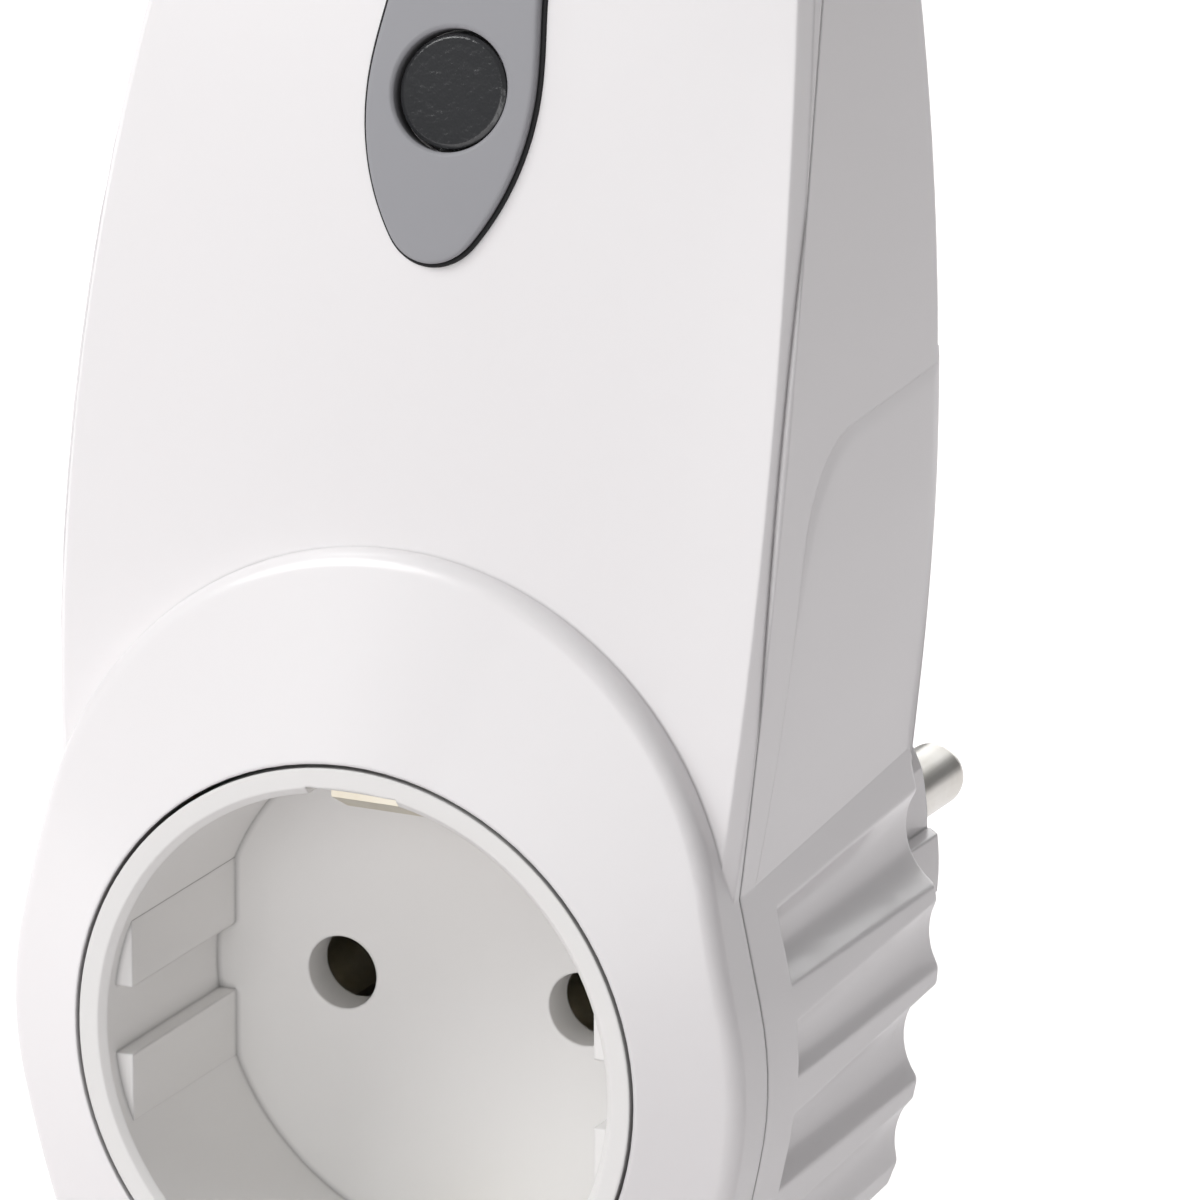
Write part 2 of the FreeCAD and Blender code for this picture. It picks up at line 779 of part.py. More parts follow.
def inner_form():
    """The hollow of the housing, and the column in front of it that the cover fills."""
    upper, lower, prisms = block("inner", s.wall)
    hollow = common("inner", join("inner_whole", upper, lower),
                    front_region("inner_reach", back - s.back_wall))
    column = common("column", join("column_whole", *prisms),
                    front_region("column_reach", ring + s.post_joint))
    return hollow, column


def screw_places():
    return (
        (s.screw_x, s.screw_height),
        (-s.screw_x, s.screw_height),
        (s.screw_low_x, s.screw_low_height),
        (-s.screw_low_x, s.screw_low_height),
    )


# Local frame of the button: its axis leans with the front face.

def face_depth(height):
    """Depth of the front face behind the ring plane at a height."""
    rise = height - s.face_centre_height
    return s.face_centre_depth - root(s.face_radius * s.face_radius - rise * rise)


def button_point(inward, up=0):
    """World y and z of a point on the button axis, and up along the face."""
    up = size(up)
    y = ring + face_depth(s.button_height) + inward * cosine(s.button_tilt)
    z = s.button_height - inward * sine(s.button_tilt)
    return y + up * sine(s.button_tilt), z + up * cosine(s.button_tilt)


def button_cylinder(name, radius, start, length, up=0):
    """A cylinder along the button axis, from a depth below the face."""
    y, z = button_point(start, up)
    return cylinder(name, radius, length, 0, y, z, X_AXIS, -(QUARTER + s.button_tilt))


def seat_in_button_frame(body):
    """Local +Y runs inward along the button axis from the front face."""
    turn(body, X_AXIS, -s.button_tilt)
    y, z = button_point(size(0))
    move(body, 0, y, z)


def surround_outline(gap):
    """Drop with a straight upper part, seen from the front: a tip and tangent cheeks."""
    tip = s.surround_tip_radius
    centre_z = s.surround_tip + tip
    rise = s.surround_mid - centre_z
    spread = s.surround_half - tip
    cheek = (s.surround_half * s.surround_half + rise * rise - tip * tip) / (spread * 2)
    cheek_x = cheek - s.surround_half
    reach = cheek - tip
    tip_x = (tip + gap) * cheek_x / reach
    tip_z = centre_z - (tip + gap) * rise / reach
    outer = cheek + gap
    above = s.surround_neck - s.surround_mid
    neck_x = root(outer * outer - above * above) - cheek_x
    return (
        (-tip_x, tip_z, outer),
        (tip_x, tip_z, tip + gap),
        (neck_x, s.surround_neck, outer),
        (neck_x, s.surround_high),
        (-neck_x, s.surround_high, s.surround_top_radius + gap),
        (-neck_x, s.surround_neck),
    )


def surround_prism(name, gap):
    outline = surround_outline(size(gap))
    sketch = free_sketch(name + "_outline", "XZ", (outline,), y=back)
    return extrude(name, sketch, s.body_depth)


def front_cover(outer, inner, column):
    rim = common("cover_rim", outer, parting_space("cover_space", -s.parting_gap))
    face = common("cover_face", outer, column)
    shell = cut("cover_shell", join("cover_front", rim, face), inner)
    posts = []
    pilots = []
    for x, z in screw_places():
        length = s.post_joint - s.space_front
        posts.append(cylinder("cover_post", s.post_radius, length, x, ring + s.space_front, z))
        start = back - s.screw_sink - s.screw_length - s.cut_over
        pilots.append(cylinder("cover_pilot", s.screw_radius + s.pilot_play,
                               s.screw_length, x, start, z))
    posts = common("cover_posts", outer, join("cover_post_set", *posts))
    bosses = []
    for side in (1, -1):
        for level in (1, -1):
            boss = button_cylinder("cover_boss", s.small_post_radius, s.wall / 2,
                                   s.switch_seat - s.wall / 2, s.small_post_reach * level)
            boss.setExpression("Placement.Base.x", (s.small_post_x * side).text)
            bosses.append(boss)
    solid = join("cover_solid", shell, posts, *bosses)
    mouth = cylinder("cover_mouth", s.socket_rim + s.rim_gap, s.parting_depth,
                     0, ring - s.cut_over, 0)
    seat_prism = surround_prism("cover_seat_prism", s.surround_gap)
    seat_floor = face_space("cover_seat_floor", s.surround_sink)
    seat = cut("cover_seat", seat_prism, seat_floor)
    hole = button_cylinder("cover_button_hole", s.button_radius + s.button_gap,
                           -s.cut_over, s.wall + s.cut_over * 2)
    return node(cut("front_cover_solid", solid, mouth, seat, hole, *pilots), "front_cover")


def rear_shell(outer, inner, column):
    rear_form = cut("rear_form", outer, parting_space("rear_space", 0))
    shell = cut("rear_hollow", rear_form, inner, column)
    inside = back - s.back_wall
    extra = []
    holes = []
    for x, z in screw_places():
        start = ring + s.post_joint
        extra.append(cylinder("rear_tower", s.post_radius, back - start - s.back_wall / 2,
                              x, start, z))
        holes.append(cylinder("rear_screw_hole", s.screw_radius + s.screw_clear,
                              s.body_depth, x, ring, z))
        holes.append(cylinder("rear_counterbore", s.screw_head_radius + s.screw_clear,
                              s.screw_sink + s.cut_over, x, back - s.screw_sink, z))
    for x in (s.board_post_x, -s.board_post_x):
        for z in (s.board_post_low, s.board_post_high):
            start = inside - s.board_stand
            extra.append(cylinder("board_post", s.board_post_radius,
                                  s.board_stand + s.back_wall / 2, x, start, z))
            holes.append(cylinder("board_pilot", s.board_screw_radius + s.pilot_play,
                                  s.board_screw_length - s.board, x, start, z))
    place = s.flange_post_place
    for x in (place, -place):
        for z in (place, -place):
            start = ring + s.socket_depth + s.socket_floor
            extra.append(cylinder("insert_post", s.flange_post_radius,
                                  back - s.back_wall / 2 - start, x, start, z))
    plug = cylinder("plug_body", s.plug_radius, s.plug_length + s.back_wall / 2,
                    0, back - s.back_wall / 2, 0)
    plug = chamfer("plug_bevel", plug, (s.plug_edge, on_pin_face))
    bore = cylinder("plug_bore", s.plug_radius - s.plug_wall,
                    s.plug_length + s.body_depth - s.plug_face_wall,
                    0, ring, 0)
    holes.append(bore)
    for x in (s.pin_spacing / 2, -s.pin_spacing / 2):
        holes.append(cylinder("pin_passage", s.pin_neck_radius + s.pin_play,
                              s.plug_face_wall + s.cut_over * 2,
                              x, -s.plug_face_wall - s.cut_over, 0))
    holes += plug_recesses()
    solid = join("rear_solid", shell, plug, *extra)
    return node(cut("rear_shell_solid", solid, *holes), "rear_shell")


def on_pin_face(point):
    """True on the edge of the pin face."""
    return abs(point.y) < TINY


def plug_recesses():
    """Side guides, earth recesses and the slots for the legs of the earth plates."""
    tools = []
    deep = s.plug_radius - s.guide_recess
    for side in (1, -1):
        for level in (1, -1):
            low_x, high_x = (deep, s.plug_radius + s.cut_over)
            low_z, high_z = (s.guide_rib_half, s.guide_half)
            xs = (low_x, high_x) if side > 0 else (-high_x, -low_x)
            zs = (low_z, high_z) if level > 0 else (-high_z, -low_z)
            tools.append(box("guide_recess", (xs[0], back, zs[0]), (xs[1], s.cut_over, zs[1])))
        half = s.plate_half + s.strip_play
        outer_z = s.plug_radius + s.cut_over
        floor_z = s.plug_radius - s.guide_recess
        zs = (floor_z, outer_z) if side > 0 else (-outer_z, -floor_z)
        tools.append(box("earth_recess", (-half, back, zs[0]), (half, s.cut_over, zs[1])))
        foot = -s.plate_foot
        inner_z = s.plug_radius - s.plug_wall - s.cut_over
        zs = (inner_z, outer_z) if side > 0 else (-outer_z, -inner_z)
        tools.append(box("leg_slot", (-half, foot - s.strip - s.strip_play, zs[0]),
                         (half, foot + s.strip_play, zs[1])))
    return tools


def button_surround():
    outline = surround_prism("surround_prism", 0)
    top = face_space("surround_top", -s.surround_proud)
    under = face_space("surround_under", s.surround_sink)
    plate = cut("surround_plate", common("surround_block", outline, top), under)

    def on_top(point):
        return on_dome(point, s.surround_proud.value)

    rounded = fillet("surround_round", plate, (s.surround_fillet, on_top))
    bore = doc.addObject("PartDesign::Body", "surround_bore")
    radius = s.button_radius + s.button_gap
    start = -s.surround_proud - s.mouth_chamfer
    end = s.surround_sink + s.cut_over
    revolve(bore, "surround_bore_turn", (
        (0, start), (radius + s.mouth_chamfer * 2, start),
        (radius, start + s.mouth_chamfer * 2), (radius, end), (0, end),
    ))
    seat_in_button_frame(bore)
    return node(cut("button_surround_solid", rounded, bore), "button_surround")


def button_cap():
    """Bevelled disc with a retaining flange and a stem down to the switch."""
    body = new_body("button_cap")
    top = s.button_recess - s.surround_proud
    flange = s.wall + s.button_flange_play
    foot = s.switch_seat - s.switch_height - s.switch_above
    path = (
        (0, top),
        (s.button_radius - s.button_bevel, top),
        (s.button_radius, top + s.button_bevel / 2),
        (s.button_radius, flange),
        (s.button_flange_radius, flange),
        (s.button_flange_radius, flange + s.button_flange),
        (s.button_stem_radius, flange + s.button_flange),
        (s.button_stem_radius, foot),
        (0, foot),
    )
    revolve(body, "cap_turn", path)
    seat_in_button_frame(body)
    return body


def switch_plunger():
    body = new_body("switch_plunger")
    top = s.switch_seat - s.switch_height - s.switch_above
    length = s.switch_above + s.switch_bore - s.button_travel - s.switch_play
    path = ((0, top), (s.switch_plunger_radius, top),
            (s.switch_plunger_radius, top + length), (0, top + length))
    revolve(body, "plunger_turn", path)
    seat_in_button_frame(body)
    return body


def tact_switch():
    body = new_body("tact_switch")
    half = s.switch_half
    base = body_sketch(body, "switch_outline", "XZ", -s.switch_seat)
    draw(base, ((-half, -half), (half, -half), (half, half), (-half, half)))
    pad(body, "switch_case", base, s.switch_height)
    front = body_sketch(body, "switch_mouth", "XZ", -(s.switch_seat - s.switch_height))
    draw_circle(front, 0, 0, s.switch_plunger_radius + s.switch_play)
    pocket(body, "switch_bore", front, s.switch_bore)
    seat_in_button_frame(body)
    return body


def switch_board():
    body = new_body("switch_board")
    across, reach = s.small_board_half, s.small_board_reach
    base = body_sketch(body, "small_board_outline", "XZ", -s.switch_seat)
    draw(base, ((-across, -reach), (across, -reach), (across, reach), (-across, reach)))
    pad(body, "small_board", base, s.board, True)
    seat_in_button_frame(body)
    return body


# Socket and plug

def socket_insert():
    body = new_body("socket_insert")
    floor = s.socket_depth + s.socket_floor
    flange = floor - s.flange_height
    path = (
        (0, s.socket_depth),
        (s.socket_radius, s.socket_depth),
        (s.socket_radius, s.rim_chamfer),
        (s.socket_radius + s.rim_chamfer, 0),
        (s.socket_rim, 0),
        (s.socket_rim, flange),
        (s.flange_radius, flange),
        (s.flange_radius, floor),
        (0, floor),
    )
    revolve(body, "cup", path)
    pads = body_sketch(body, "pad_outline", "XZ", -s.pad_start)
    for side in (1, -1):
        for level in (1, -1):
            inner_x, outer_x = s.pad_flat * side, s.pad_root * side
            low_z, high_z = s.pad_groove_half * level, s.pad_half * level
            draw(pads, ((inner_x, low_z), (outer_x, low_z), (outer_x, high_z), (inner_x, high_z)))
    pad(body, "guide_pads", pads, s.socket_depth - s.pad_start + s.socket_floor / 2, True)
    channel = body_sketch(body, "channel_outline", "XZ", -s.clip_end + s.strip)
    slot = body_sketch(body, "slot_outline", "XZ", 0)
    half = s.plate_half + s.clip_side_play
    for level in (1, -1):
        inner_z, outer_z = (s.clip_outer - s.strip - s.clip_side_play) * level, s.clip_channel * level
        draw(channel, ((-half, inner_z), (half, inner_z), (half, outer_z), (-half, outer_z)))
        slot_z = (s.clip_outer + s.clip_side_play) * level
        draw(slot, ((-half, inner_z), (half, inner_z), (half, slot_z), (-half, slot_z)))
    pocket(body, "clip_channels", channel, s.socket_depth - s.clip_end + s.strip)
    pocket(body, "clip_slots", slot, floor + s.cut_over)
    holes = body_sketch(body, "hole_outline", "XZ", 0)
    draw_circle(holes, s.pin_spacing / 2, 0, s.hole_radius)
    draw_circle(holes, -s.pin_spacing / 2, 0, s.hole_radius)
    pocket(body, "pin_holes", holes, floor + s.cut_over)
    move(body, 0, ring, 0)
    return body


def clip_half(level):
    """Front side and back side of one earth clip, from the axis out to its end."""
    inner = s.clip_outer - s.strip
    front = (
        (s.socket_depth + s.socket_floor, 0),
        (s.socket_depth + s.socket_floor, inner * level),
        (s.clip_bend, inner * level),
        (s.clip_nose_depth, s.clip_nose * level),
        (s.clip_end, s.clip_end_height * level),
    )
    rear = (
        (s.clip_end, (s.clip_end_height + s.strip) * level),
        (s.clip_nose_depth, (s.clip_nose + s.strip) * level),
        (s.clip_bend, s.clip_outer * level),
        (s.socket_depth + s.socket_floor + s.strip, s.clip_outer * level),
    )
    return front, rear


def earth_strap():
    """One bent strip: its base lies behind the socket floor, its ends are the clips."""
    body = new_body("earth_strap")
    front, rear = clip_half(1)
    low_front, low_rear = clip_half(-1)
    path = front[1:] + rear + low_rear[::-1] + low_front[:0:-1]
    outline = body_sketch(body, "strap_outline", "YZ", -s.plate_half)
    draw(outline, path)
    pad(body, "strap", outline, s.plate_half * 2)
    move(body, 0, ring, 0)
    return body


def contact(label, side):
    """Slit sleeve for a pin, with a tab that rises to the circuit board."""
    body = new_body(label)
    floor = s.socket_depth + s.socket_floor
    outer = s.sleeve_radius + s.sleeve_wall
    ring_sketch = body_sketch(body, label + "_ring", "XZ", -floor)
    draw_circle(ring_sketch, 0, 0, outer)
    draw_circle(ring_sketch, 0, 0, s.sleeve_radius)
    pad(body, label + "_sleeve", ring_sketch, s.sleeve_length, True)
    end = floor + s.sleeve_length
    tab = body_sketch(body, label + "_tab_side", "YZ", -s.tab_half)
    board_front = s.body_depth - s.back_wall - s.board_stand - s.board
    low = s.sleeve_radius + s.sleeve_wall / 2
    draw(tab, ((end - s.strip, low), (end, low), (end, s.tab_height - s.strip),
               (board_front, s.tab_height - s.strip), (board_front, s.tab_height),
               (end - s.strip, s.tab_height)))
    pad(body, label + "_tab", tab, s.tab_half * 2)
    slit = body_sketch(body, label + "_slit", "XZ", -floor)
    half = s.sleeve_slit / 2
    draw(slit, ((-half, -outer - s.cut_over), (half, -outer - s.cut_over), (half, 0), (-half, 0)))
    pocket(body, label + "_slit_cut", slit, s.sleeve_length)
    move(body, s.pin_spacing / 2 * side, ring, 0)
    return body


def plug_pin(label, side):
    body = new_body(label)
    neck = s.pin_neck_radius
    flange = -(s.plug_face_wall + s.carrier_depth)
    tail = -(s.plug_length + s.back_wall + s.board_stand + s.cut_over / 2)
    path = (
        (0, tail),
        (s.pin_tail_radius, tail),
        (s.pin_tail_radius, flange),
        (s.pin_flange_radius, flange),
        (s.pin_flange_radius, flange + s.pin_flange),
        (neck, flange + s.pin_flange),
        (neck, 0),
        (s.pin_radius, 0),
        (s.pin_radius, s.pin_length - s.pin_tip),
        (s.pin_radius - s.pin_tip, s.pin_length, s.pin_tip),
        (0, s.pin_length),
    )
    revolve(body, label + "_turn", path)
    move(body, s.pin_spacing / 2 * side, 0, 0)
    return body


def pin_carrier():
    body = new_body("pin_carrier")
    disc = body_sketch(body, "carrier_outline", "XZ", s.plug_face_wall)
    draw_circle(disc, 0, 0, s.plug_radius - s.plug_wall - s.carrier_play)
    draw_circle(disc, s.pin_spacing / 2, 0, s.pin_neck_radius + s.pin_play)
    draw_circle(disc, -s.pin_spacing / 2, 0, s.pin_neck_radius + s.pin_play)
    pad(body, "carrier_disc", disc, s.carrier_depth)
    sink = body_sketch(body, "carrier_sink", "XZ", s.plug_face_wall + s.carrier_depth)
    draw_circle(sink, s.pin_spacing / 2, 0, s.pin_flange_radius + s.pin_play)
    draw_circle(sink, -s.pin_spacing / 2, 0, s.pin_flange_radius + s.pin_play)
    pocket(body, "flange_seats", sink, s.pin_flange)
    return body


def earth_plate(label, level):
    """Plate in the recess of the plug body, with a leg that enters the plug."""
    body = new_body(label)
    low = s.plug_radius - s.guide_recess
    foot = -s.plate_foot
    path = (
        (foot - s.strip, s.plate_leg_end * level),
        (foot, s.plate_leg_end * level),
        (foot, low * level),
        (-s.plate_front, low * level),
        (-s.plate_front, (low + s.strip) * level),
        (foot - s.strip, (low + s.strip) * level),
    )
    outline = body_sketch(body, label + "_side", "YZ", -s.plate_half)
    draw(outline, path)
    pad(body, label + "_strip", outline, s.plate_half * 2)
    return body


def earth_bridge():
    """Joins the plates of the plug to the strap behind the socket."""
    body = new_body("earth_bridge")
    half = s.strip / 2
    foot = -s.plate_foot
    start = ring + s.socket_depth + s.socket_floor + s.strip
    path = (
        (start, -half),
        (foot, -half),
        (foot, -s.bridge_half),
        (foot + s.strip, -s.bridge_half),
        (foot + s.strip, s.bridge_half),
        (foot, s.bridge_half),
        (foot, half),
        (start, half),
    )
    outline = body_sketch(body, "bridge_side", "YZ", -s.plate_half)
    draw(outline, path)
    pad(body, "bridge_strip", outline, s.plate_half * 2)
    return body


def pin_strap(label, side):
    """Flat strip from the tail of a pin to the back of the circuit board."""
    body = new_body(label)
    plane = back - s.back_wall - s.board_stand
    outline = body_sketch(body, label + "_outline", "XZ", -(plane + s.strip))
    half = s.strap_half
    draw(outline, ((-half, s.strap_low), (half, s.strap_low),
                   (half, s.strap_high), (-half, s.strap_high)))
    draw_circle(outline, 0, 0, s.pin_tail_radius + s.strap_play)
    pad(body, label + "_strip", outline, s.strip)
    move(body, s.pin_spacing / 2 * side, 0, 0)
    return body


# Circuit board and its components, all standing on the front of the board

board_back = back - s.back_wall - s.board_stand
board_face = board_back - s.board


def circuit_board():
    body = new_body("circuit_board")
    half, low, high, corner = s.board_half, s.board_low, s.board_high, s.board_corner
    outline = body_sketch(body, "board_outline", "XZ", -board_back)
    draw(outline, (
        (-half, low), (half, low), (half, high - corner), (half - corner, high),
        (corner - half, high), (-half, high - corner),
    ))
    for x in (s.board_post_x, -s.board_post_x):
        for z in (s.board_post_low, s.board_post_high):
            draw_circle(outline, x, z, s.board_screw_radius + s.pin_play)
    pad(body, "board_panel", outline, s.board)
    return body


def standing_block(label, x, z, width, length, height, chamfer=None):
    """A rectangular component on the board, with bevelled front edges."""
    body = new_body(label)
    outline = body_sketch(body, label + "_outline", "XZ", -board_face)
    draw(outline, ((x, z), (x + width, z), (x + width, z + length), (x, z + length)))
    case = pad(body, label + "_case", outline, height)
    if chamfer is not None:
        doc.recompute()
        front = (board_face - height).value
        names = []
        for index, edge in enumerate(case.Shape.Edges, 1):
            if abs(edge.CenterOfMass.y - front) < TINY:
                names.append("Edge%d" % index)
        bevel = body.newObject("PartDesign::Chamfer", label + "_bevel")
        bevel.Base = (case, names)
        bind(bevel, "Size", chamfer)
    return body


def fuse():
    """Glass cartridge with two metal caps, turned about its own axis."""
    body = new_body("fuse")
    cap, glass = s.fuse_cap_radius, s.fuse_radius
    length, rim = s.fuse_length, s.fuse_cap_length
    path = ((0, 0), (cap, 0), (cap, rim), (glass, rim), (glass, length - rim),
            (cap, length - rim), (cap, length), (0, length))
    revolve(body, "cartridge", path)
    body.Placement.Rotation = FreeCAD.Rotation(FreeCAD.Vector(0, 0, 1), -QUARTER)
    move(body, s.fuse_x, board_face - s.fuse_lift, s.fuse_z)
    return body


def fuse_holder():
    body = new_body("fuse_holder")
    end = s.holder_end
    high = s.fuse_lift + s.fuse_cap_radius
    outline = body_sketch(body, "holder_profile", "XY")
    left, right = s.fuse_x - end, s.fuse_x + s.fuse_length + end
    draw(outline, (
        (left, board_face), (left, board_face - high), (left + end, board_face - high),
        (left + end, board_face - s.holder_base), (right - end, board_face - s.holder_base),
        (right - end, board_face - high), (right, board_face - high), (right, board_face),
    ))
    pad(body, "holder", outline, s.holder_half * 2)
    move(body, 0, 0, s.fuse_z - s.holder_half)
    return body


def varistor():
    centre_y = board_face - s.varistor_lift - s.varistor_radius
    disc = cylinder("varistor_disc", s.varistor_radius, s.varistor_thick, s.varistor_x,
                    centre_y, s.varistor_z, FreeCAD.Vector(0, 1, 0), QUARTER)
    leads = []
    for side in (1, -1):
        leads.append(cylinder("varistor_lead", s.lead_radius,
                              s.varistor_lift + s.varistor_radius / 2,
                              s.varistor_x + s.varistor_thick / 2,
                              centre_y + s.varistor_radius / 2,
                              s.varistor_z + s.lead_offset * side))
    return node(join("varistor_solid", disc, *leads), "varistor")


def smoothing_capacitor():
    body = new_body("smoothing_capacitor")
    radius, high, edge = s.can_radius, s.can_height, s.can_fillet
    path = ((0, -high), (radius - edge, -high), (radius, edge - high, edge),
            (radius, 0), (0, 0))
    revolve(body, "can", path)
    move(body, s.can_x, board_face, s.can_z)
    return body


def transistor():
    body = new_body("transistor")
    radius, flat = s.transistor_radius, s.transistor_flat
    reach = root(radius * radius - flat * flat)
    outline = body_sketch(body, "transistor_outline", "XZ")
    draw(outline, ((-reach, -flat, radius), (reach, -flat), (0, radius, radius)))
    pad(body, "transistor_case", outline, s.transistor_height)
    move(body, s.transistor_x, board_face, s.transistor_z)
    return body


def case_screws():
    """Four equal screws from the back."""
    body = new_body("case_screws")
    seat = back - s.screw_sink
    shank = body_sketch(body, "shank_outline", "XZ", -seat)
    head = body_sketch(body, "head_outline", "XZ", -seat)
    cross = body_sketch(body, "cross_outline", "XZ", -(seat + s.screw_head_height))
    long_half, short_half = s.cross_length / 2, s.cross_width / 2
    for x, z in screw_places():
        draw_circle(shank, x, z, s.screw_radius)
        draw_circle(head, x, z, s.screw_head_radius)
        draw(cross, (
            (x - long_half, z - short_half), (x - short_half, z - short_half),
            (x - short_half, z - long_half), (x + short_half, z - long_half),
            (x + short_half, z - short_half), (x + long_half, z - short_half),
            (x + long_half, z + short_half), (x + short_half, z + short_half),
            (x + short_half, z + long_half), (x - short_half, z + long_half),
            (x - short_half, z + short_half), (x - long_half, z + short_half),
        ))
    pad(body, "shanks", shank, s.screw_length)
    pad(body, "heads", head, s.screw_head_height, True)
    pocket(body, "crosses", cross, s.cross_depth, True)
    return body


def board_screws():
    """Four equal screws that hold the circuit board."""
    body = new_body("board_screws")
    head = body_sketch(body, "board_head_outline", "XZ", -board_face)
    shank = body_sketch(body, "board_shank_outline", "XZ", -board_face)
    for x in (s.board_post_x, -s.board_post_x):
        for z in (s.board_post_low, s.board_post_high):
            draw_circle(head, x, z, s.board_screw_head)
            draw_circle(shank, x, z, s.board_screw_radius)
    pad(body, "board_heads", head, s.board_screw_head_height)
    pad(body, "board_shanks", shank, s.board_screw_length - s.strip, True)
    return body


def build():
    outer = outer_form()
    inner, column = inner_form()
    front_cover(outer, inner, column)
    rear_shell(outer, inner, column)
    button_surround()
    button_cap()
    switch_plunger()
    tact_switch()
    switch_board()
    socket_insert()
    earth_strap()
    contact("live_contact", 1)
    contact("neutral_contact", -1)
    plug_pin("live_pin", 1)
    plug_pin("neutral_pin", -1)
    pin_carrier()
    earth_plate("earth_plate_top", 1)
    earth_plate("earth_plate_bottom", -1)
    earth_bridge()
    pin_strap("live_strap", 1)
    pin_strap("neutral_strap", -1)
    circuit_board()
    relay_side = -(s.small_board_half + s.relay_gap + s.relay_width)
    standing_block("relay", relay_side, s.relay_z, s.relay_width, s.relay_length,
                   s.relay_height, s.relay_chamfer)
    standing_block("power_resistor", s.resistor_x, s.resistor_z, s.resistor_side,
                   s.resistor_length, s.resistor_side, s.resistor_chamfer)
    standing_block("mains_capacitor", s.capacitor_x, s.capacitor_z, s.capacitor_width,
                   s.capacitor_length, s.capacitor_height)
    standing_block("bridge_rectifier", s.bridge_x, s.bridge_z, s.bridge_width,
                   s.bridge_length, s.bridge_height)
    fuse()
    fuse_holder()
    varistor()
    smoothing_capacitor()
    transistor()
    case_screws()
    board_screws()


def check_and_write():
    """Stops at any failed object, then writes one file for each sub-part."""
    doc.recompute()
    for item in doc.Objects:
        if "Invalid" in item.State or "Error" in item.State:
            raise RuntimeError("%s failed: %s" % (item.Name, item.State))
    for item in nodes:
        shape = item.Shape
        if shape.isNull() or not shape.isValid() or not shape.Solids:
            raise RuntimeError(item.Label + " has no valid solid")
    os.makedirs("parts", exist_ok=True)
    for item in nodes:
        item.Shape.exportStep("parts/%s.step" % item.Label)
        print(item.Label, len(item.Shape.Solids), round(item.Shape.Volume, 1))


build()
check_and_write()
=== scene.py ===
import math

import bpy
import numpy as np
from mathutils import Matrix, Vector


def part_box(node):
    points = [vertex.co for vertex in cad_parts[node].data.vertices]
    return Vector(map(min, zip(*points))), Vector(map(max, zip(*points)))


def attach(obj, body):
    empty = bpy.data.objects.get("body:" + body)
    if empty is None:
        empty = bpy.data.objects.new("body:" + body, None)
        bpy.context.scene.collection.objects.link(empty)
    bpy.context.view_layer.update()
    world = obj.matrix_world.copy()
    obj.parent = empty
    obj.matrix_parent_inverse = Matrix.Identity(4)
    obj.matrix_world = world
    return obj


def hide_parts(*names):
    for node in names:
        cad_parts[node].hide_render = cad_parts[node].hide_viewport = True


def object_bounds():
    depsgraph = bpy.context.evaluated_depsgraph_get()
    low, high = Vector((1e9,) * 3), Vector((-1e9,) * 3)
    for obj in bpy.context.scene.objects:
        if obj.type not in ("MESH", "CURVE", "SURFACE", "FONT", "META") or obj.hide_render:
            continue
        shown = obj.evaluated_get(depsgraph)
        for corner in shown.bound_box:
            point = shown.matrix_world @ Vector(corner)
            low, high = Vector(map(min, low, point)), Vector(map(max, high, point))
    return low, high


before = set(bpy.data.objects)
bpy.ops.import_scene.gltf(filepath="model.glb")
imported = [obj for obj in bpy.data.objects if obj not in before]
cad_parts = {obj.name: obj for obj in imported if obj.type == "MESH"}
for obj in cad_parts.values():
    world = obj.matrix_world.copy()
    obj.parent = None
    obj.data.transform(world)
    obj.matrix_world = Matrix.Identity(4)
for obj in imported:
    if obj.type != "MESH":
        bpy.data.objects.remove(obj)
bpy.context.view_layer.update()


MM = 0.001
WHITE = (1.0, 1.0, 1.0, 1.0)


# ---------------------------------------------------------------- node groups

def start_group(name, inputs, outputs):
    """A shader node group with named number, colour and vector sockets."""
    group = bpy.data.node_groups.new(name, "ShaderNodeTree")
    kinds = {"number": "NodeSocketFloat", "colour": "NodeSocketColor", "vector": "NodeSocketVector"}
    for label, kind, value in inputs:
        socket = group.interface.new_socket(label, in_out="INPUT", socket_type=kinds[kind])
        if value is not None:
            socket.default_value = value
    for label, kind in outputs:
        group.interface.new_socket(label, in_out="OUTPUT", socket_type=kinds[kind])
    return group, group.nodes.new("NodeGroupInput"), group.nodes.new("NodeGroupOutput")


def noise(tree, place, scale, detail=3.0, roughness=0.5):
    """A noise texture read at a place, with its size linked or typed."""
    node = tree.nodes.new("ShaderNodeTexNoise")
    node.inputs["Detail"].default_value = detail
    node.inputs["Roughness"].default_value = roughness
    tree.links.new(place, node.inputs["Vector"])
    if isinstance(scale, float):
        node.inputs["Scale"].default_value = scale
    else:
        tree.links.new(scale, node.inputs["Scale"])
    return node.outputs["Fac"]


def calculate(tree, operation, *values, clamp=False):
    """A math node whose inputs are numbers or sockets."""
    node = tree.nodes.new("ShaderNodeMath")
    node.operation = operation
    node.use_clamp = clamp
    for index, value in enumerate(values):
        if isinstance(value, (int, float)):
            node.inputs[index].default_value = value
        else:
            tree.links.new(value, node.inputs[index])
    return node.outputs[0]


def along_axis(tree, vector, axis):
    """One coordinate of a vector."""
    split = tree.nodes.new("ShaderNodeSeparateXYZ")
    tree.links.new(vector, split.inputs[0])
    return split.outputs[axis]


def spread(tree, value, low, high, to_low, to_high):
    """A value carried from one range to another, held at the ends."""
    node = tree.nodes.new("ShaderNodeMapRange")
    for label, number in (("From Min", low), ("From Max", high), ("To Min", to_low), ("To Max", to_high)):
        node.inputs[label].default_value = number
    tree.links.new(value, node.inputs["Value"])
    return node.outputs["Result"]


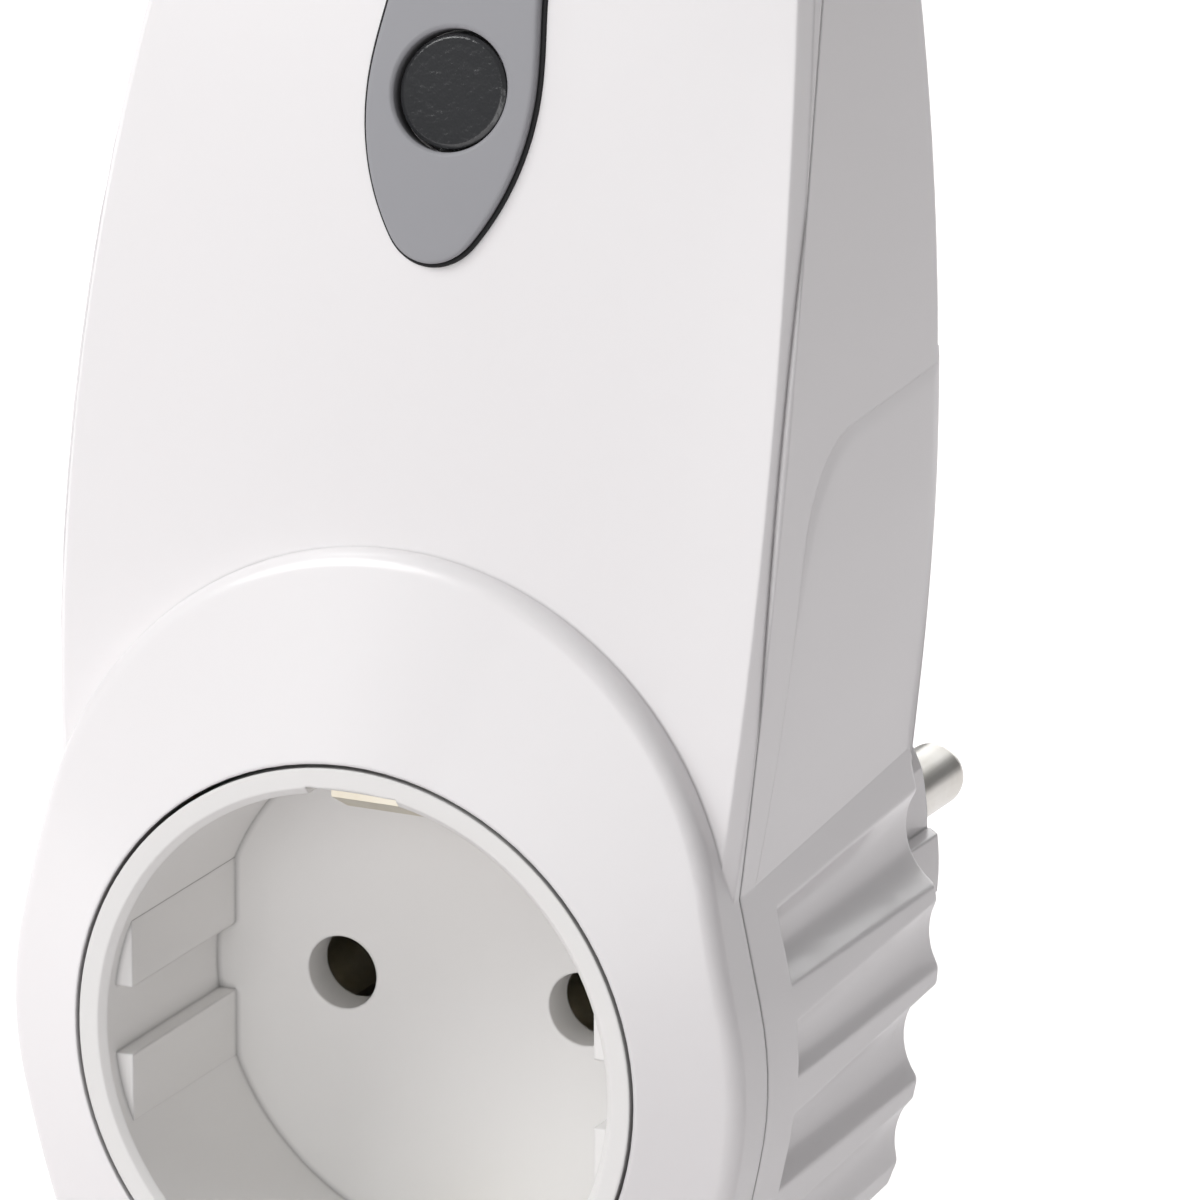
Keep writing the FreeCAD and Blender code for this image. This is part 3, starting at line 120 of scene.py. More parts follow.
def blend_colours(tree, factor, first, second):
    """Two colours, mixed by a factor."""
    node = tree.nodes.new("ShaderNodeMix")
    node.data_type = "RGBA"
    tree.links.new(factor, node.inputs["Factor"])
    for label, colour in (("A", first), ("B", second)):
        socket = [s for s in node.inputs if s.name == label and s.type == "RGBA"][0]
        if isinstance(colour, tuple):
            socket.default_value = colour + (1.0,)
        else:
            tree.links.new(colour, socket)
    return [s for s in node.outputs if s.type == "RGBA"][0]


def swing_gloss(group, start, pattern):
    """The group's gloss, swung about its middle by a pattern."""
    middle = calculate(group, "SUBTRACT", pattern, 0.5)
    swing = calculate(group, "MULTIPLY", middle, start.outputs["Gloss Spread"])
    return calculate(group, "ADD", start.outputs["Gloss"], swing)


def make_mould_skin():
    """Skin of a moulded part: fine grain of the mould, a slow ripple of the wall, a slight change of tone."""
    group, start, end = start_group(
        "mould_skin",
        (("Place", "vector", None), ("Colour", "colour", None), ("Shade", "colour", None),
         ("Grain Size", "number", 2600.0), ("Gloss", "number", 0.3), ("Gloss Spread", "number", 0.06)),
        (("Colour", "colour"), ("Roughness", "number"), ("Height", "number")))
    place = start.outputs["Place"]
    grain = noise(group, place, start.outputs["Grain Size"], 2.0, 0.6)
    ripple = noise(group, place, 55.0, 2.0, 0.4)
    tone = noise(group, place, 22.0, 4.0, 0.55)
    mask = spread(group, tone, 0.25, 0.75, 0.0, 1.0)
    group.links.new(blend_colours(group, mask, start.outputs["Colour"], start.outputs["Shade"]),
                    end.inputs["Colour"])
    touch = noise(group, place, 140.0, 5.0, 0.6)
    group.links.new(swing_gloss(group, start, touch), end.inputs["Roughness"])
    height = calculate(group, "ADD", calculate(group, "MULTIPLY", grain, 0.35), ripple)
    group.links.new(height, end.inputs["Height"])
    return group


def make_dust():
    """Fine dust: specks and a faint veil that lies more on faces that look up."""
    group, start, end = start_group(
        "dust",
        (("Place", "vector", None), ("Facing", "vector", None), ("Amount", "number", 0.1)),
        (("Mask", "number"),))
    upward = spread(group, along_axis(group, start.outputs["Facing"], "Z"), -0.1, 0.9, 0.15, 1.0)
    specks = spread(group, noise(group, start.outputs["Place"], 1500.0, 2.0, 0.7), 0.66, 0.74, 0.0, 1.0)
    veil = spread(group, noise(group, start.outputs["Place"], 60.0, 5.0, 0.6), 0.45, 0.75, 0.0, 0.5)
    both = calculate(group, "MAXIMUM", specks, veil)
    mask = calculate(group, "MULTIPLY", calculate(group, "MULTIPLY", both, upward), start.outputs["Amount"])
    group.links.new(mask, end.inputs["Mask"])
    return group


def make_drawn_lines():
    """Lines of rolled or drawn metal: noise pulled out along one direction, and its gloss."""
    group, start, end = start_group(
        "drawn_lines",
        (("Place", "vector", None), ("Gloss", "number", 0.25), ("Gloss Spread", "number", 0.2)),
        (("Roughness", "number"), ("Height", "number")))
    fine = noise(group, start.outputs["Place"], 1.0, 3.0, 0.6)
    broad = noise(group, start.outputs["Place"], 0.2, 3.0, 0.5)
    height = calculate(group, "ADD", calculate(group, "MULTIPLY", fine, 0.7),
                       calculate(group, "MULTIPLY", broad, 0.3))
    group.links.new(swing_gloss(group, start, height), end.inputs["Roughness"])
    group.links.new(height, end.inputs["Height"])
    return group


MOULD_SKIN = make_mould_skin()
DUST = make_dust()
DRAWN_LINES = make_drawn_lines()


# ------------------------------------------------------------------ materials

# the colour of dust, the colour of the painted shade in gaps and the heights between which that painted shade
# fades
DUST_COLOUR, GAP_SHADE_COLOUR = (0.72, 0.70, 0.68), (0.03, 0.028, 0.03)
GAP_SHADE_FULL, GAP_SHADE_FADED = 22 * MM, 45 * MM
BEVEL_SAMPLES, GAP_SAMPLES = 6, 8
# the length of a fuse's cap
FUSE_CAP = 5 * MM


def start_material(name):
    """An empty material with a Principled shader and the object's own coordinates."""
    material = bpy.data.materials.new(name)
    material.use_nodes = True
    tree = material.node_tree
    tree.nodes.clear()
    surface = tree.nodes.new("ShaderNodeOutputMaterial")
    shader = tree.nodes.new("ShaderNodeBsdfPrincipled")
    tree.links.new(shader.outputs["BSDF"], surface.inputs["Surface"])
    place = tree.nodes.new("ShaderNodeTexCoord")
    return material, tree, shader, place


def place_group(tree, group, **values):
    """A node group in a material, with its own values."""
    node = tree.nodes.new("ShaderNodeGroup")
    node.node_tree = group
    for label, value in values.items():
        socket = node.inputs[label.replace("_", " ")]
        if isinstance(value, bpy.types.NodeSocket):
            tree.links.new(value, socket)
        elif isinstance(value, tuple) and len(value) == 3:
            socket.default_value = value + (1.0,)
        else:
            socket.default_value = value
    return node


def raise_surface(tree, shader, height, strength, distance, edge=0.0):
    """A bump that feeds the shader's normal, over edges rounded to a radius."""
    bump = tree.nodes.new("ShaderNodeBump")
    bump.inputs["Strength"].default_value = strength
    bump.inputs["Distance"].default_value = distance
    tree.links.new(height, bump.inputs["Height"])
    if edge:
        rounded = tree.nodes.new("ShaderNodeBevel")
        rounded.samples = BEVEL_SAMPLES
        rounded.inputs["Radius"].default_value = edge
        tree.links.new(rounded.outputs["Normal"], bump.inputs["Normal"])
    tree.links.new(bump.outputs["Normal"], shader.inputs["Normal"])


def paint_gap_shade(tree, place, tone, reach, depth, upper):
    """Painted shade: a colour that falls off in gaps and corners narrower than a reach. The share named upper
    is what is left of it at the upper end of the body, so the painted shade fades towards the top."""
    nearby = tree.nodes.new("ShaderNodeAmbientOcclusion")
    nearby.samples = GAP_SAMPLES
    nearby.inputs["Distance"].default_value = reach
    share = spread(tree, along_axis(tree, place.outputs["Object"], "Z"), GAP_SHADE_FULL, GAP_SHADE_FADED, 1.0, upper)
    # painted shade: darker where the occlusion finds surfaces close by, less of it towards the top
    closed = calculate(tree, "MULTIPLY", spread(tree, nearby.outputs["AO"], 0.2, 0.85, depth, 0.0), share)
    return blend_colours(tree, closed, tone, GAP_SHADE_COLOUR)


def moulded(name, colour, shade, gloss, gloss_spread=0.06, grain=2600.0, bump=0.03 * MM, strength=0.25,
            dust=0.0, coat=0.0, specular=0.5, scatter=0.0, gap_shade=0.0, edge=0.0, reach=0.7 * MM, upper=1.0):
    """A moulded plastic: mould skin, slight change of tone, fine dust, painted shade in gaps and rounded
    edges. Grain is the skin's fineness, bump its height, gap_shade how dark the painted shade in a gap
    narrower than reach gets, upper the share of it left at the top, edge the radius to which edges look
    rounded."""
    material, tree, shader, place = start_material(name)
    skin = place_group(tree, MOULD_SKIN, Place=place.outputs["Object"], Colour=colour, Shade=shade,
                       Grain_Size=grain, Gloss=gloss, Gloss_Spread=gloss_spread)
    veil = place_group(tree, DUST, Place=place.outputs["Object"], Facing=place.outputs["Normal"],
                       Amount=dust)
    tone = blend_colours(tree, veil.outputs["Mask"], skin.outputs["Colour"], DUST_COLOUR)
    if gap_shade:
        tone = paint_gap_shade(tree, place, tone, reach, gap_shade, upper)
    tree.links.new(tone, shader.inputs["Base Color"])
    rough = calculate(tree, "ADD", skin.outputs["Roughness"],
                      calculate(tree, "MULTIPLY", veil.outputs["Mask"], 0.5), clamp=True)
    tree.links.new(rough, shader.inputs["Roughness"])
    raise_surface(tree, shader, skin.outputs["Height"], strength, bump, edge)
    shader.inputs["Specular IOR Level"].default_value = specular
    shader.inputs["Coat Weight"].default_value = coat
    shader.inputs["Coat Roughness"].default_value = 0.08
    if scatter:
        shader.inputs["Subsurface Weight"].default_value = scatter
        shader.inputs["Subsurface Radius"].default_value = (1.0, 0.9, 0.85)
        shader.inputs["Subsurface Scale"].default_value = 0.0012
    return material


def metal(name, colour, shade, gloss, gloss_spread, stretch):
    """A metal with drawn lines along one direction and a slight tarnish."""
    material, tree, shader, place = start_material(name)
    pull = tree.nodes.new("ShaderNodeMapping")
    pull.inputs["Scale"].default_value = stretch
    tree.links.new(place.outputs["Object"], pull.inputs["Vector"])
    lines = place_group(tree, DRAWN_LINES, Place=pull.outputs["Vector"], Gloss=gloss,
                        Gloss_Spread=gloss_spread)
    tarnish = spread(tree, noise(tree, place.outputs["Object"], 260.0, 4.0, 0.6), 0.4, 0.75, 0.0, 1.0)
    tree.links.new(blend_colours(tree, tarnish, colour, shade), shader.inputs["Base Color"])
    tree.links.new(lines.outputs["Roughness"], shader.inputs["Roughness"])
    raise_surface(tree, shader, lines.outputs["Height"], 0.3, 0.02 * MM)
    shader.inputs["Metallic"].default_value = 1.0
    return material


def board_material():
    """Green solder mask over copper: the weave of the glass board and a net of tracks under the mask."""
    material, tree, shader, place = start_material("board_mask")
    weave = tree.nodes.new("ShaderNodeTexWave")
    weave.inputs["Scale"].default_value = 420.0
    weave.inputs["Distortion"].default_value = 0.6
    tree.links.new(place.outputs["Object"], weave.inputs["Vector"])
    cells = tree.nodes.new("ShaderNodeTexBrick")
    cells.inputs["Scale"].default_value = 95.0
    cells.inputs["Mortar Size"].default_value = 0.03
    turn = tree.nodes.new("ShaderNodeMapping")
    turn.inputs["Rotation"].default_value = (math.radians(90), 0, 0)
    tree.links.new(place.outputs["Object"], turn.inputs["Vector"])
    tree.links.new(turn.outputs["Vector"], cells.inputs["Vector"])
    base = blend_colours(tree, spread(tree, weave.outputs["Fac"], 0.2, 0.9, 0.0, 0.35),
                         (0.012, 0.115, 0.045), (0.03, 0.19, 0.075))
    tone = blend_colours(tree, spread(tree, cells.outputs["Fac"], 0.0, 1.0, 0.0, 0.75), base,
                         (0.05, 0.27, 0.10))
    tree.links.new(tone, shader.inputs["Base Color"])
    rough = spread(tree, noise(tree, place.outputs["Object"], 300.0, 4.0, 0.6), 0.3, 0.7, 0.28, 0.42)
    tree.links.new(rough, shader.inputs["Roughness"])
    raise_surface(tree, shader, cells.outputs["Fac"], 0.3, 0.05 * MM)
    return material


def ceramic_material():
    """Cast cement and ceramic: small pits and pale grains."""
    material, tree, shader, place = start_material("resistor_ceramic")
    grains = tree.nodes.new("ShaderNodeTexVoronoi")
    grains.inputs["Scale"].default_value = 2200.0
    tree.links.new(place.outputs["Object"], grains.inputs["Vector"])
    mask = spread(tree, grains.outputs["Distance"], 0.1, 0.6, 0.0, 1.0)
    tone = blend_colours(tree, mask, (0.80, 0.79, 0.74), (0.66, 0.64, 0.58))
    tree.links.new(tone, shader.inputs["Base Color"])
    shader.inputs["Roughness"].default_value = 0.75
    raise_surface(tree, shader, grains.outputs["Distance"], 0.5, 0.08 * MM)
    return material


def fuse_material():
    """A glass tube with nickel caps: the caps are told from the tube by their place along it."""
    material, tree, shader, place = start_material("fuse_glass_and_caps")
    low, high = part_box("fuse")
    middle, reach = (low.x + high.x) / 2, (high.x - low.x) / 2
    along = along_axis(tree, place.outputs["Object"], "X")
    offset = calculate(tree, "ABSOLUTE", calculate(tree, "SUBTRACT", along, middle))
    cap = calculate(tree, "GREATER_THAN", offset, reach - FUSE_CAP)
    cloud = spread(tree, noise(tree, place.outputs["Object"], 500.0, 3.0, 0.5), 0.3, 0.8, 0.0, 1.0)
    glass = blend_colours(tree, cloud, (0.62, 0.68, 0.68), (0.72, 0.76, 0.75))
    nickel = blend_colours(tree, cloud, (0.72, 0.71, 0.68), (0.62, 0.60, 0.57))
    tree.links.new(blend_colours(tree, cap, glass, nickel), shader.inputs["Base Color"])
    tree.links.new(cap, shader.inputs["Metallic"])
    tree.links.new(spread(tree, cap, 0.0, 1.0, 0.06, 0.28), shader.inputs["Roughness"])
    return material


# gap_shade paints shade into the narrow gaps and corners of the moulded parts; upper=0.1 fades that painted
# shade towards the top of the housing
MATERIALS = {
    "housing_white": moulded(
        "housing_white_finish", (0.885, 0.866, 0.872), (0.872, 0.852, 0.859), 0.3, 0.03, grain=5200.0,
        bump=0.004 * MM, strength=0.3, coat=0.1, scatter=0.04, gap_shade=0.6, edge=0.4 * MM, reach=0.4 * MM,
        upper=0.1),
    "insert_white": moulded(
        "insert_white_finish", (0.85, 0.842, 0.832), (0.835, 0.824, 0.812), 0.4, 0.04, grain=5200.0,
        bump=0.005 * MM, strength=0.3, gap_shade=0.6, edge=0.3 * MM),
    "surround_grey": moulded(
        "surround_grey_finish", (0.325, 0.325, 0.345), (0.305, 0.305, 0.325), 0.5, 0.06, grain=6500.0,
        bump=0.01 * MM, strength=0.5, gap_shade=0.8, edge=0.3 * MM),
    "button_dark": moulded(
        "button_dark_finish", (0.022, 0.023, 0.025), (0.045, 0.046, 0.049), 0.17, 0.12, grain=1300.0,
        bump=0.26 * MM, strength=0.6, coat=0.3, edge=0.15 * MM),
    "part_black": moulded(
        "moulded_black_finish", (0.028, 0.028, 0.030), (0.040, 0.040, 0.043), 0.5, 0.1, dust=0.1),
    # near-black lip round the surround plate, which stands for the shadow of the gap round it: painted shade
    "shade_lip_black": moulded(
        "shade_lip_finish", (0.010, 0.010, 0.011), (0.016, 0.016, 0.018), 0.6, 0.1, grain=4200.0,
        bump=0.01 * MM, strength=0.4, specular=0.3),
    "relay_case": moulded(
        "relay_case_finish", (0.045, 0.085, 0.25), (0.035, 0.07, 0.21), 0.3, 0.06, dust=0.08),
    "capacitor_case": moulded(
        "capacitor_case_finish", (0.70, 0.55, 0.08), (0.63, 0.49, 0.07), 0.38, 0.06, dust=0.06),
    "varistor_coat": moulded(
        "varistor_coat_finish", (0.045, 0.11, 0.38), (0.03, 0.085, 0.31), 0.3, 0.12, grain=900.0,
        bump=0.08 * MM, strength=0.4, dust=0.06),
    "can_sleeve": moulded(
        "can_sleeve_finish", (0.035, 0.045, 0.11), (0.028, 0.036, 0.09), 0.28, 0.08, dust=0.08),
    "pin_metal": metal(
        "pin_nickel", (0.60, 0.585, 0.555), (0.54, 0.52, 0.48), 0.34, 0.16, (6000.0, 400.0, 6000.0)),
    "contact_metal": metal(
        "contact_tin", (0.74, 0.70, 0.60), (0.66, 0.60, 0.47), 0.33, 0.2, (5000.0, 5000.0, 500.0)),
    "screw_steel": metal(
        "screw_zinc", (0.62, 0.62, 0.63), (0.54, 0.53, 0.50), 0.3, 0.2, (3000.0, 3000.0, 3000.0)),
    "board_green": board_material(),
    "resistor_body": ceramic_material(),
    "fuse_glass": fuse_material(),
}

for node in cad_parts.values():
    for held in node.material_slots:
        held.material = MATERIALS[held.material.name.split(".")[0]]


# ------------------------------------------------- new pieces, in millimetres

# the side wall: the arc at the back, its level, and how much wider it gets towards the front
BACK = -17.5
WALL_RADIUS, WALL_CENTRE, WALL_LEVEL = 240.0, -214.2, 43.0
WALL_LEAN = math.tan(math.radians(3.4))
# the angle from which an edge of a ring stays sharp
CREASE = math.radians(35.0)


def wall_reach(y, z):
    """Half width of the upper body: an arc whose radius grows with the lean towards the front."""
    radius = WALL_RADIUS + (BACK - y) * WALL_LEAN
    return WALL_CENTRE + np.sqrt(radius ** 2 - (z - WALL_LEVEL) ** 2)


def smooth(value):
    """The curve 3t^2 - 2t^3 of a value held between nought and one."""
    held = np.clip(value, 0.0, 1.0)
    return held * held * (3.0 - 2.0 * held)


def grid_faces(rows, columns):
    """Quads of a grid whose points run along its rows."""
    first = (np.arange(rows - 1)[:, None] * columns + np.arange(columns - 1)).ravel()
    return np.column_stack([first, first + 1, first + columns + 1, first + columns])


def ring_faces(rows, columns):
    """Quads of a tube: the points run round it, the rows run round its section."""
    row, column = np.divmod(np.arange(rows * columns), columns)
    after, beside = (row + 1) % rows, (column + 1) % columns
    return np.column_stack([row * columns + column, row * columns + beside, after * columns + beside,
                            after * columns + column])


def add_mesh(name, points, faces, material):
    """An object in the scene, from points in metres and faces, with one material."""
    mesh = bpy.data.meshes.new(name)
    mesh.from_pydata(points.tolist(), [], faces.tolist())
    mesh.materials.append(material)
    mesh.update()
    thing = bpy.data.objects.new(name, mesh)
    bpy.context.scene.collection.objects.link(thing)
    return thing


def add_piece(name, points, faces, slot, body, finish=None):
    """A smooth mesh of points in millimetres, carried by a body, with the finish of a slot or its own."""
    thing = add_mesh(name, points * MM, faces, MATERIALS[finish or slot])
    thing.data.polygons.foreach_set("use_smooth", np.ones(len(faces), dtype=bool))
    thing.data.update()
    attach(thing, body)
    return thing


def add_ring(name, stations, slot, body, finish=None):
    """A closed ring whose section passes through stations; its faces are turned outwards by the sign of its
    volume, which is the sum of the triple products of its triangles over six."""
    points = np.concatenate([np.column_stack(station) for station in stations])
    faces = ring_faces(len(stations), len(stations[0][0]))
    a, b, c, d = (points[faces[:, i]] for i in range(4))
    volume = np.sum(np.cross(a, b) * c) + np.sum(np.cross(a, c) * d)
    if volume < 0:
        faces = faces[:, ::-1]
    thing = add_piece(name, points, faces, slot, body, finish)
    thing.data.set_sharp_from_angle(angle=CREASE)
    return thing


# the thumb field's edges: top, foot, corner radius, leaning front edge and rear edge
FIELD_TOP, FIELD_FOOT, FIELD_CORNER = 43.3, 10.0, 8.5
FIELD_FRONT, FIELD_FRONT_LEVEL, FIELD_FRONT_LEAN = -49.0, 10.0, 5.5 / 26.5
FIELD_REAR = -18.1
# its grid: rows and columns, how far it runs on past the front and the rear edge, its depth there, its wall
FIELD_ROWS, FIELD_COLUMNS = 130, 116
FIELD_MARGIN, FIELD_TUCK = 1.2, 0.4
FIELD_COVER, FIELD_WALL = 0.1, 0.35
# how proud it is at the top and how deep at the back, with the heights between which each comes in
FIELD_RISE, RISE_FROM, RISE_OVER = 0.08, 30.0, 6.0
FIELD_SINK, SINK_TO, SINK_OVER = 0.4, 34.0, 16.0
# the soft step at its edge: where it starts and how wide it is, and what the top adds to both
RAMP_START, RAMP_WIDTH = 0.9, 1.1
UPPER_START, UPPER_WIDTH = 0.3, 1.3


def field_distance(y, z):
    """Distance inside the thumb field: the least distance to its edges; its upper front corner is round."""
    level = 1.0 / math.hypot(1.0, FIELD_FRONT_LEAN)
    front = (y - FIELD_FRONT - (z - FIELD_FRONT_LEVEL) * FIELD_FRONT_LEAN) * level
    top = FIELD_TOP - z
    corner = FIELD_CORNER - np.hypot(FIELD_CORNER - front, FIELD_CORNER - top)
    in_corner = (front < FIELD_CORNER) & (top < FIELD_CORNER)
    edge = np.where(in_corner, corner, np.minimum(front, top))
    return np.minimum(edge, FIELD_REAR - y)


def thumb_field(name, side):
    """The flat thumb field on one side: the wall's arc plus a smooth step that is proud and wide at the top
    of the field, level at its front edge lower down and sunk towards the back. Rows run down the field,
    columns from its front edge to the back, and outside the field the surface lies inside the wall."""
    z = np.linspace(FIELD_TOP + FIELD_MARGIN, FIELD_FOOT, FIELD_ROWS)[:, None] + np.zeros((1, FIELD_COLUMNS))
    front = FIELD_FRONT + (z - FIELD_FRONT_LEVEL) * FIELD_FRONT_LEAN - FIELD_MARGIN
    y = front + (FIELD_REAR + FIELD_TUCK - front) * np.linspace(0.0, 1.0, FIELD_COLUMNS)[None, :]
    to_back = np.clip((y - front) / (FIELD_REAR - front), 0.0, 1.0)
    upper = np.clip((z - RISE_FROM) / RISE_OVER, 0.0, 1.0)
    rise = FIELD_RISE * upper - FIELD_SINK * to_back * np.clip((SINK_TO - z) / SINK_OVER, 0.0, 1.0)
    inside = field_distance(y, z) + RAMP_START + UPPER_START * upper
    ramp = smooth(inside / (RAMP_WIDTH + UPPER_WIDTH * upper))
    height = -FIELD_COVER + (rise + FIELD_COVER) * ramp
    x = side * (wall_reach(y, z) + height)
    faces = grid_faces(*x.shape)
    if side > 0:
        faces = faces[:, ::-1]
    points = np.column_stack([x.ravel(), y.ravel(), z.ravel()])
    field = add_piece(name, points, faces, "housing_white", "housing")
    wall = field.modifiers.new("wall", "SOLIDIFY")
    wall.thickness = FIELD_WALL * MM
    wall.offset = -1.0


thumb_field("thumb_field_right", 1.0)
thumb_field("thumb_field_left", -1.0)


# the domed face, and the button's axis and bore in it
DOME_RADIUS, DOME_DEPTH, DOME_LEVEL = 207.0, 151.1, -5.6
BUTTON_LEVEL, BUTTON_LEAN = 66.25, math.radians(20.2)
BORE, BORE_BEVEL = 4.35, 0.22
# the surround plate: height over the dome, depth in it, edge radius, and the forms of its outline
PLATE_PROUD, PLATE_DEEP, PLATE_EDGE = 0.7, 1.0, 0.3
TIP_RADIUS, TIP_LEVEL, TIP_END = 3.75, 58.65, 56.41
CHEEK_RADIUS, CHEEK_LEVEL, CHEEK_OFFSET = 16.9, 66.5, 10.55
STEP_HALF_WIDTH, STEP_IN, STEP_OVER = 6.35, 0.85, 9.0
CROWN_RADIUS, CROWN_LEVEL = 5.9, 79.03
# its two ends, the closely read stretches next to them, and the counts of points
PLATE_FOOT, PLATE_TOP, FOOT_SPAN, TOP_SPAN = 54.9, 84.93, 0.4, 0.42
MIDDLE_FROM, MIDDLE_TO = 55.32, 84.5
OUTLINE_COUNT, FACE_RINGS, END_COUNT, MIDDLE_COUNT = 420, 12, 60, 900
EDGE_ANGLES = np.radians([22.5, 45.0, 67.5, 90.0])
# the lip's section: distance out from the plate's outline, height over the dome
LIP_SECTION = ((-0.1, -0.5), (-0.1, 0.06), (0.05, 0.14), (0.18, 0.16), (0.3, 0.12), (0.36, 0.02),
               (0.36, -0.5))


def dome(x, z, proud=0.0):
    """Depth of the domed face at a place, moved out by proud: a sphere about a centre behind the face."""
    return DOME_DEPTH - np.sqrt((DOME_RADIUS + proud) ** 2 - x ** 2 - (z - DOME_LEVEL) ** 2)


def plate_half_width(z):
    """Half width of the surround plate over its height: a round tip, round cheeks, a smooth step to the upper
    part and a round top; the least of these forms holds."""
    def circle(radius, level):
        """Half width of a circle about a level, nought beyond it."""
        return np.sqrt(np.maximum(radius ** 2 - (z - level) ** 2, 0.0))
    cheek = circle(CHEEK_RADIUS, CHEEK_LEVEL) - CHEEK_OFFSET
    step = STEP_HALF_WIDTH - STEP_IN * smooth((z - CHEEK_LEVEL) / STEP_OVER)
    sides = np.where(z < CHEEK_LEVEL, cheek, step)
    tip = np.where(z < TIP_END, circle(TIP_RADIUS, TIP_LEVEL), sides)
    return np.where(z > CROWN_LEVEL, np.minimum(circle(CROWN_RADIUS, CROWN_LEVEL), sides), tip)


def plate_outline():
    """The plate's outline as a closed curve about the button, with its outward directions: the half width
    over the height, in closer steps near both ends, read again at equal angles seen from the button."""
    z = np.concatenate([PLATE_FOOT + FOOT_SPAN * np.linspace(0, 1, END_COUNT) ** 2,
                        np.linspace(MIDDLE_FROM, MIDDLE_TO, MIDDLE_COUNT),
                        PLATE_TOP - TOP_SPAN * np.linspace(1, 0, END_COUNT)[1:] ** 2])
    x = plate_half_width(z)
    x[0] = x[-1] = 0.0
    angle = np.arctan2(z - BUTTON_LEVEL, x)
    reach = np.hypot(x, z - BUTTON_LEVEL)
    turn = np.linspace(-math.pi, math.pi, OUTLINE_COUNT, endpoint=False)
    far = np.interp(np.arcsin(np.sin(turn)), angle, reach)
    px, pz = far * np.cos(turn), BUTTON_LEVEL + far * np.sin(turn)
    ahead_x, ahead_z = np.roll(px, -1) - np.roll(px, 1), np.roll(pz, -1) - np.roll(pz, 1)
    length = np.hypot(ahead_x, ahead_z)
    return turn, px, pz, ahead_z / length, -ahead_x / length


def bore_circle(turn, radius, proud):
    """A circle about the button's leaning axis, at a height above the face."""
    start = dome(0.0, BUTTON_LEVEL)
    across, up = radius * np.cos(turn), radius * np.sin(turn)
    y = start - proud * math.cos(BUTTON_LEAN) + up * math.sin(BUTTON_LEAN)
    z = BUTTON_LEVEL + proud * math.sin(BUTTON_LEAN) + up * math.cos(BUTTON_LEAN)
    return across, y, z


def surround_plate():
    """The grey plate: bore and bevel about the button's axis, a top that follows the dome out to the outline,
    a quarter-round edge and a straight wall."""
    turn, px, pz, out_x, out_z = plate_outline()
    stations = [bore_circle(turn, BORE, -PLATE_DEEP), bore_circle(turn, BORE, PLATE_PROUD - BORE_BEVEL)]
    rim_x, _, rim_z = bore_circle(turn, BORE + BORE_BEVEL, PLATE_PROUD)
    for share in np.linspace(0.0, 1.0, FACE_RINGS):
        x = rim_x + (px - out_x * PLATE_EDGE - rim_x) * share
        z = rim_z + (pz - out_z * PLATE_EDGE - rim_z) * share
        stations.append((x, dome(x, z, PLATE_PROUD), z))
    for angle in EDGE_ANGLES:
        inset = PLATE_EDGE * (1.0 - math.sin(angle))
        x, z = px - out_x * inset, pz - out_z * inset
        stations.append((x, dome(x, z, PLATE_PROUD) + PLATE_EDGE * (1.0 - math.cos(angle)), z))
    stations.append((px, dome(px, pz, -PLATE_DEEP), pz))
    plate = add_ring("surround_plate", stations, "surround_grey", "housing")
    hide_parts("button_surround")


def surround_shade_lip():
    """The thin dark lip round the plate: a low half-round bead that follows the plate's outline. It has the
    form of a seal, and its near-black stands for the shadow in the gap round the plate: painted shade. Each
    corner of its section is a distance outwards from the outline and a height above the dome."""
    _, px, pz, out_x, out_z = plate_outline()
    stations = []
    for offset, proud in LIP_SECTION:
        x, z = px + out_x * offset, pz + out_z * offset
        stations.append((x, dome(x, z, proud), z))
    add_ring("surround_shade_lip", stations, "part_black", "housing", "shade_lip_black")


surround_plate()
surround_shade_lip()


# ------------------------------------------- floor, lamps and room, in metres

# the floor's half side, points each way, gap under the object and glow; the strength of the room's light
FLOOR_HALF, FLOOR_COUNT, FLOOR_GAP, FLOOR_LIFT = 4.0, 3, 0.0002, 0.62
ROOM_STRENGTH = 0.18


def floor_material():
    """Pale paper that keeps the object's shadow and looks white to the camera, to gloss and through glass."""
    material, tree, shader, place = start_material("pale_paper")
    fibre = noise(tree, place.outputs["Object"], 40.0, 4.0, 0.6)
    tone = blend_colours(tree, fibre, (0.71, 0.685, 0.69), (0.73, 0.70, 0.71))
    tree.links.new(tone, shader.inputs["Base Color"])
    shader.inputs["Roughness"].default_value = 0.9
    shader.inputs["Specular IOR Level"].default_value = 0.1
    lift = tree.nodes.new("ShaderNodeEmission")
    lift.inputs["Color"].default_value = WHITE
    ray = tree.nodes.new("ShaderNodeLightPath")
    mirrored = calculate(tree, "MAXIMUM", ray.outputs["Is Glossy Ray"], ray.outputs["Is Transmission Ray"])
    seen = calculate(tree, "MAXIMUM", ray.outputs["Is Camera Ray"], mirrored)
    tree.links.new(calculate(tree, "MULTIPLY", seen, FLOOR_LIFT), lift.inputs["Strength"])
    both = tree.nodes.new("ShaderNodeAddShader")
    tree.links.new(shader.outputs["BSDF"], both.inputs[0])
    tree.links.new(lift.outputs["Emission"], both.inputs[1])
    surface = [n for n in tree.nodes if n.type == "OUTPUT_MATERIAL"][0]
    tree.links.new(both.outputs["Shader"], surface.inputs["Surface"])
    return material


def floor_sheet():
    """A flat square grid just below the object: x and y run over two equal parameters, z is constant."""
    run = np.linspace(-FLOOR_HALF, FLOOR_HALF, FLOOR_COUNT)
    x, y = np.meshgrid(run, run)
    level = float(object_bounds()[0][2]) - FLOOR_GAP
    points = np.column_stack([x.ravel(), y.ravel(), np.full(x.size, level)])
    return add_mesh("floor", points, grid_faces(FLOOR_COUNT, FLOOR_COUNT), floor_material())


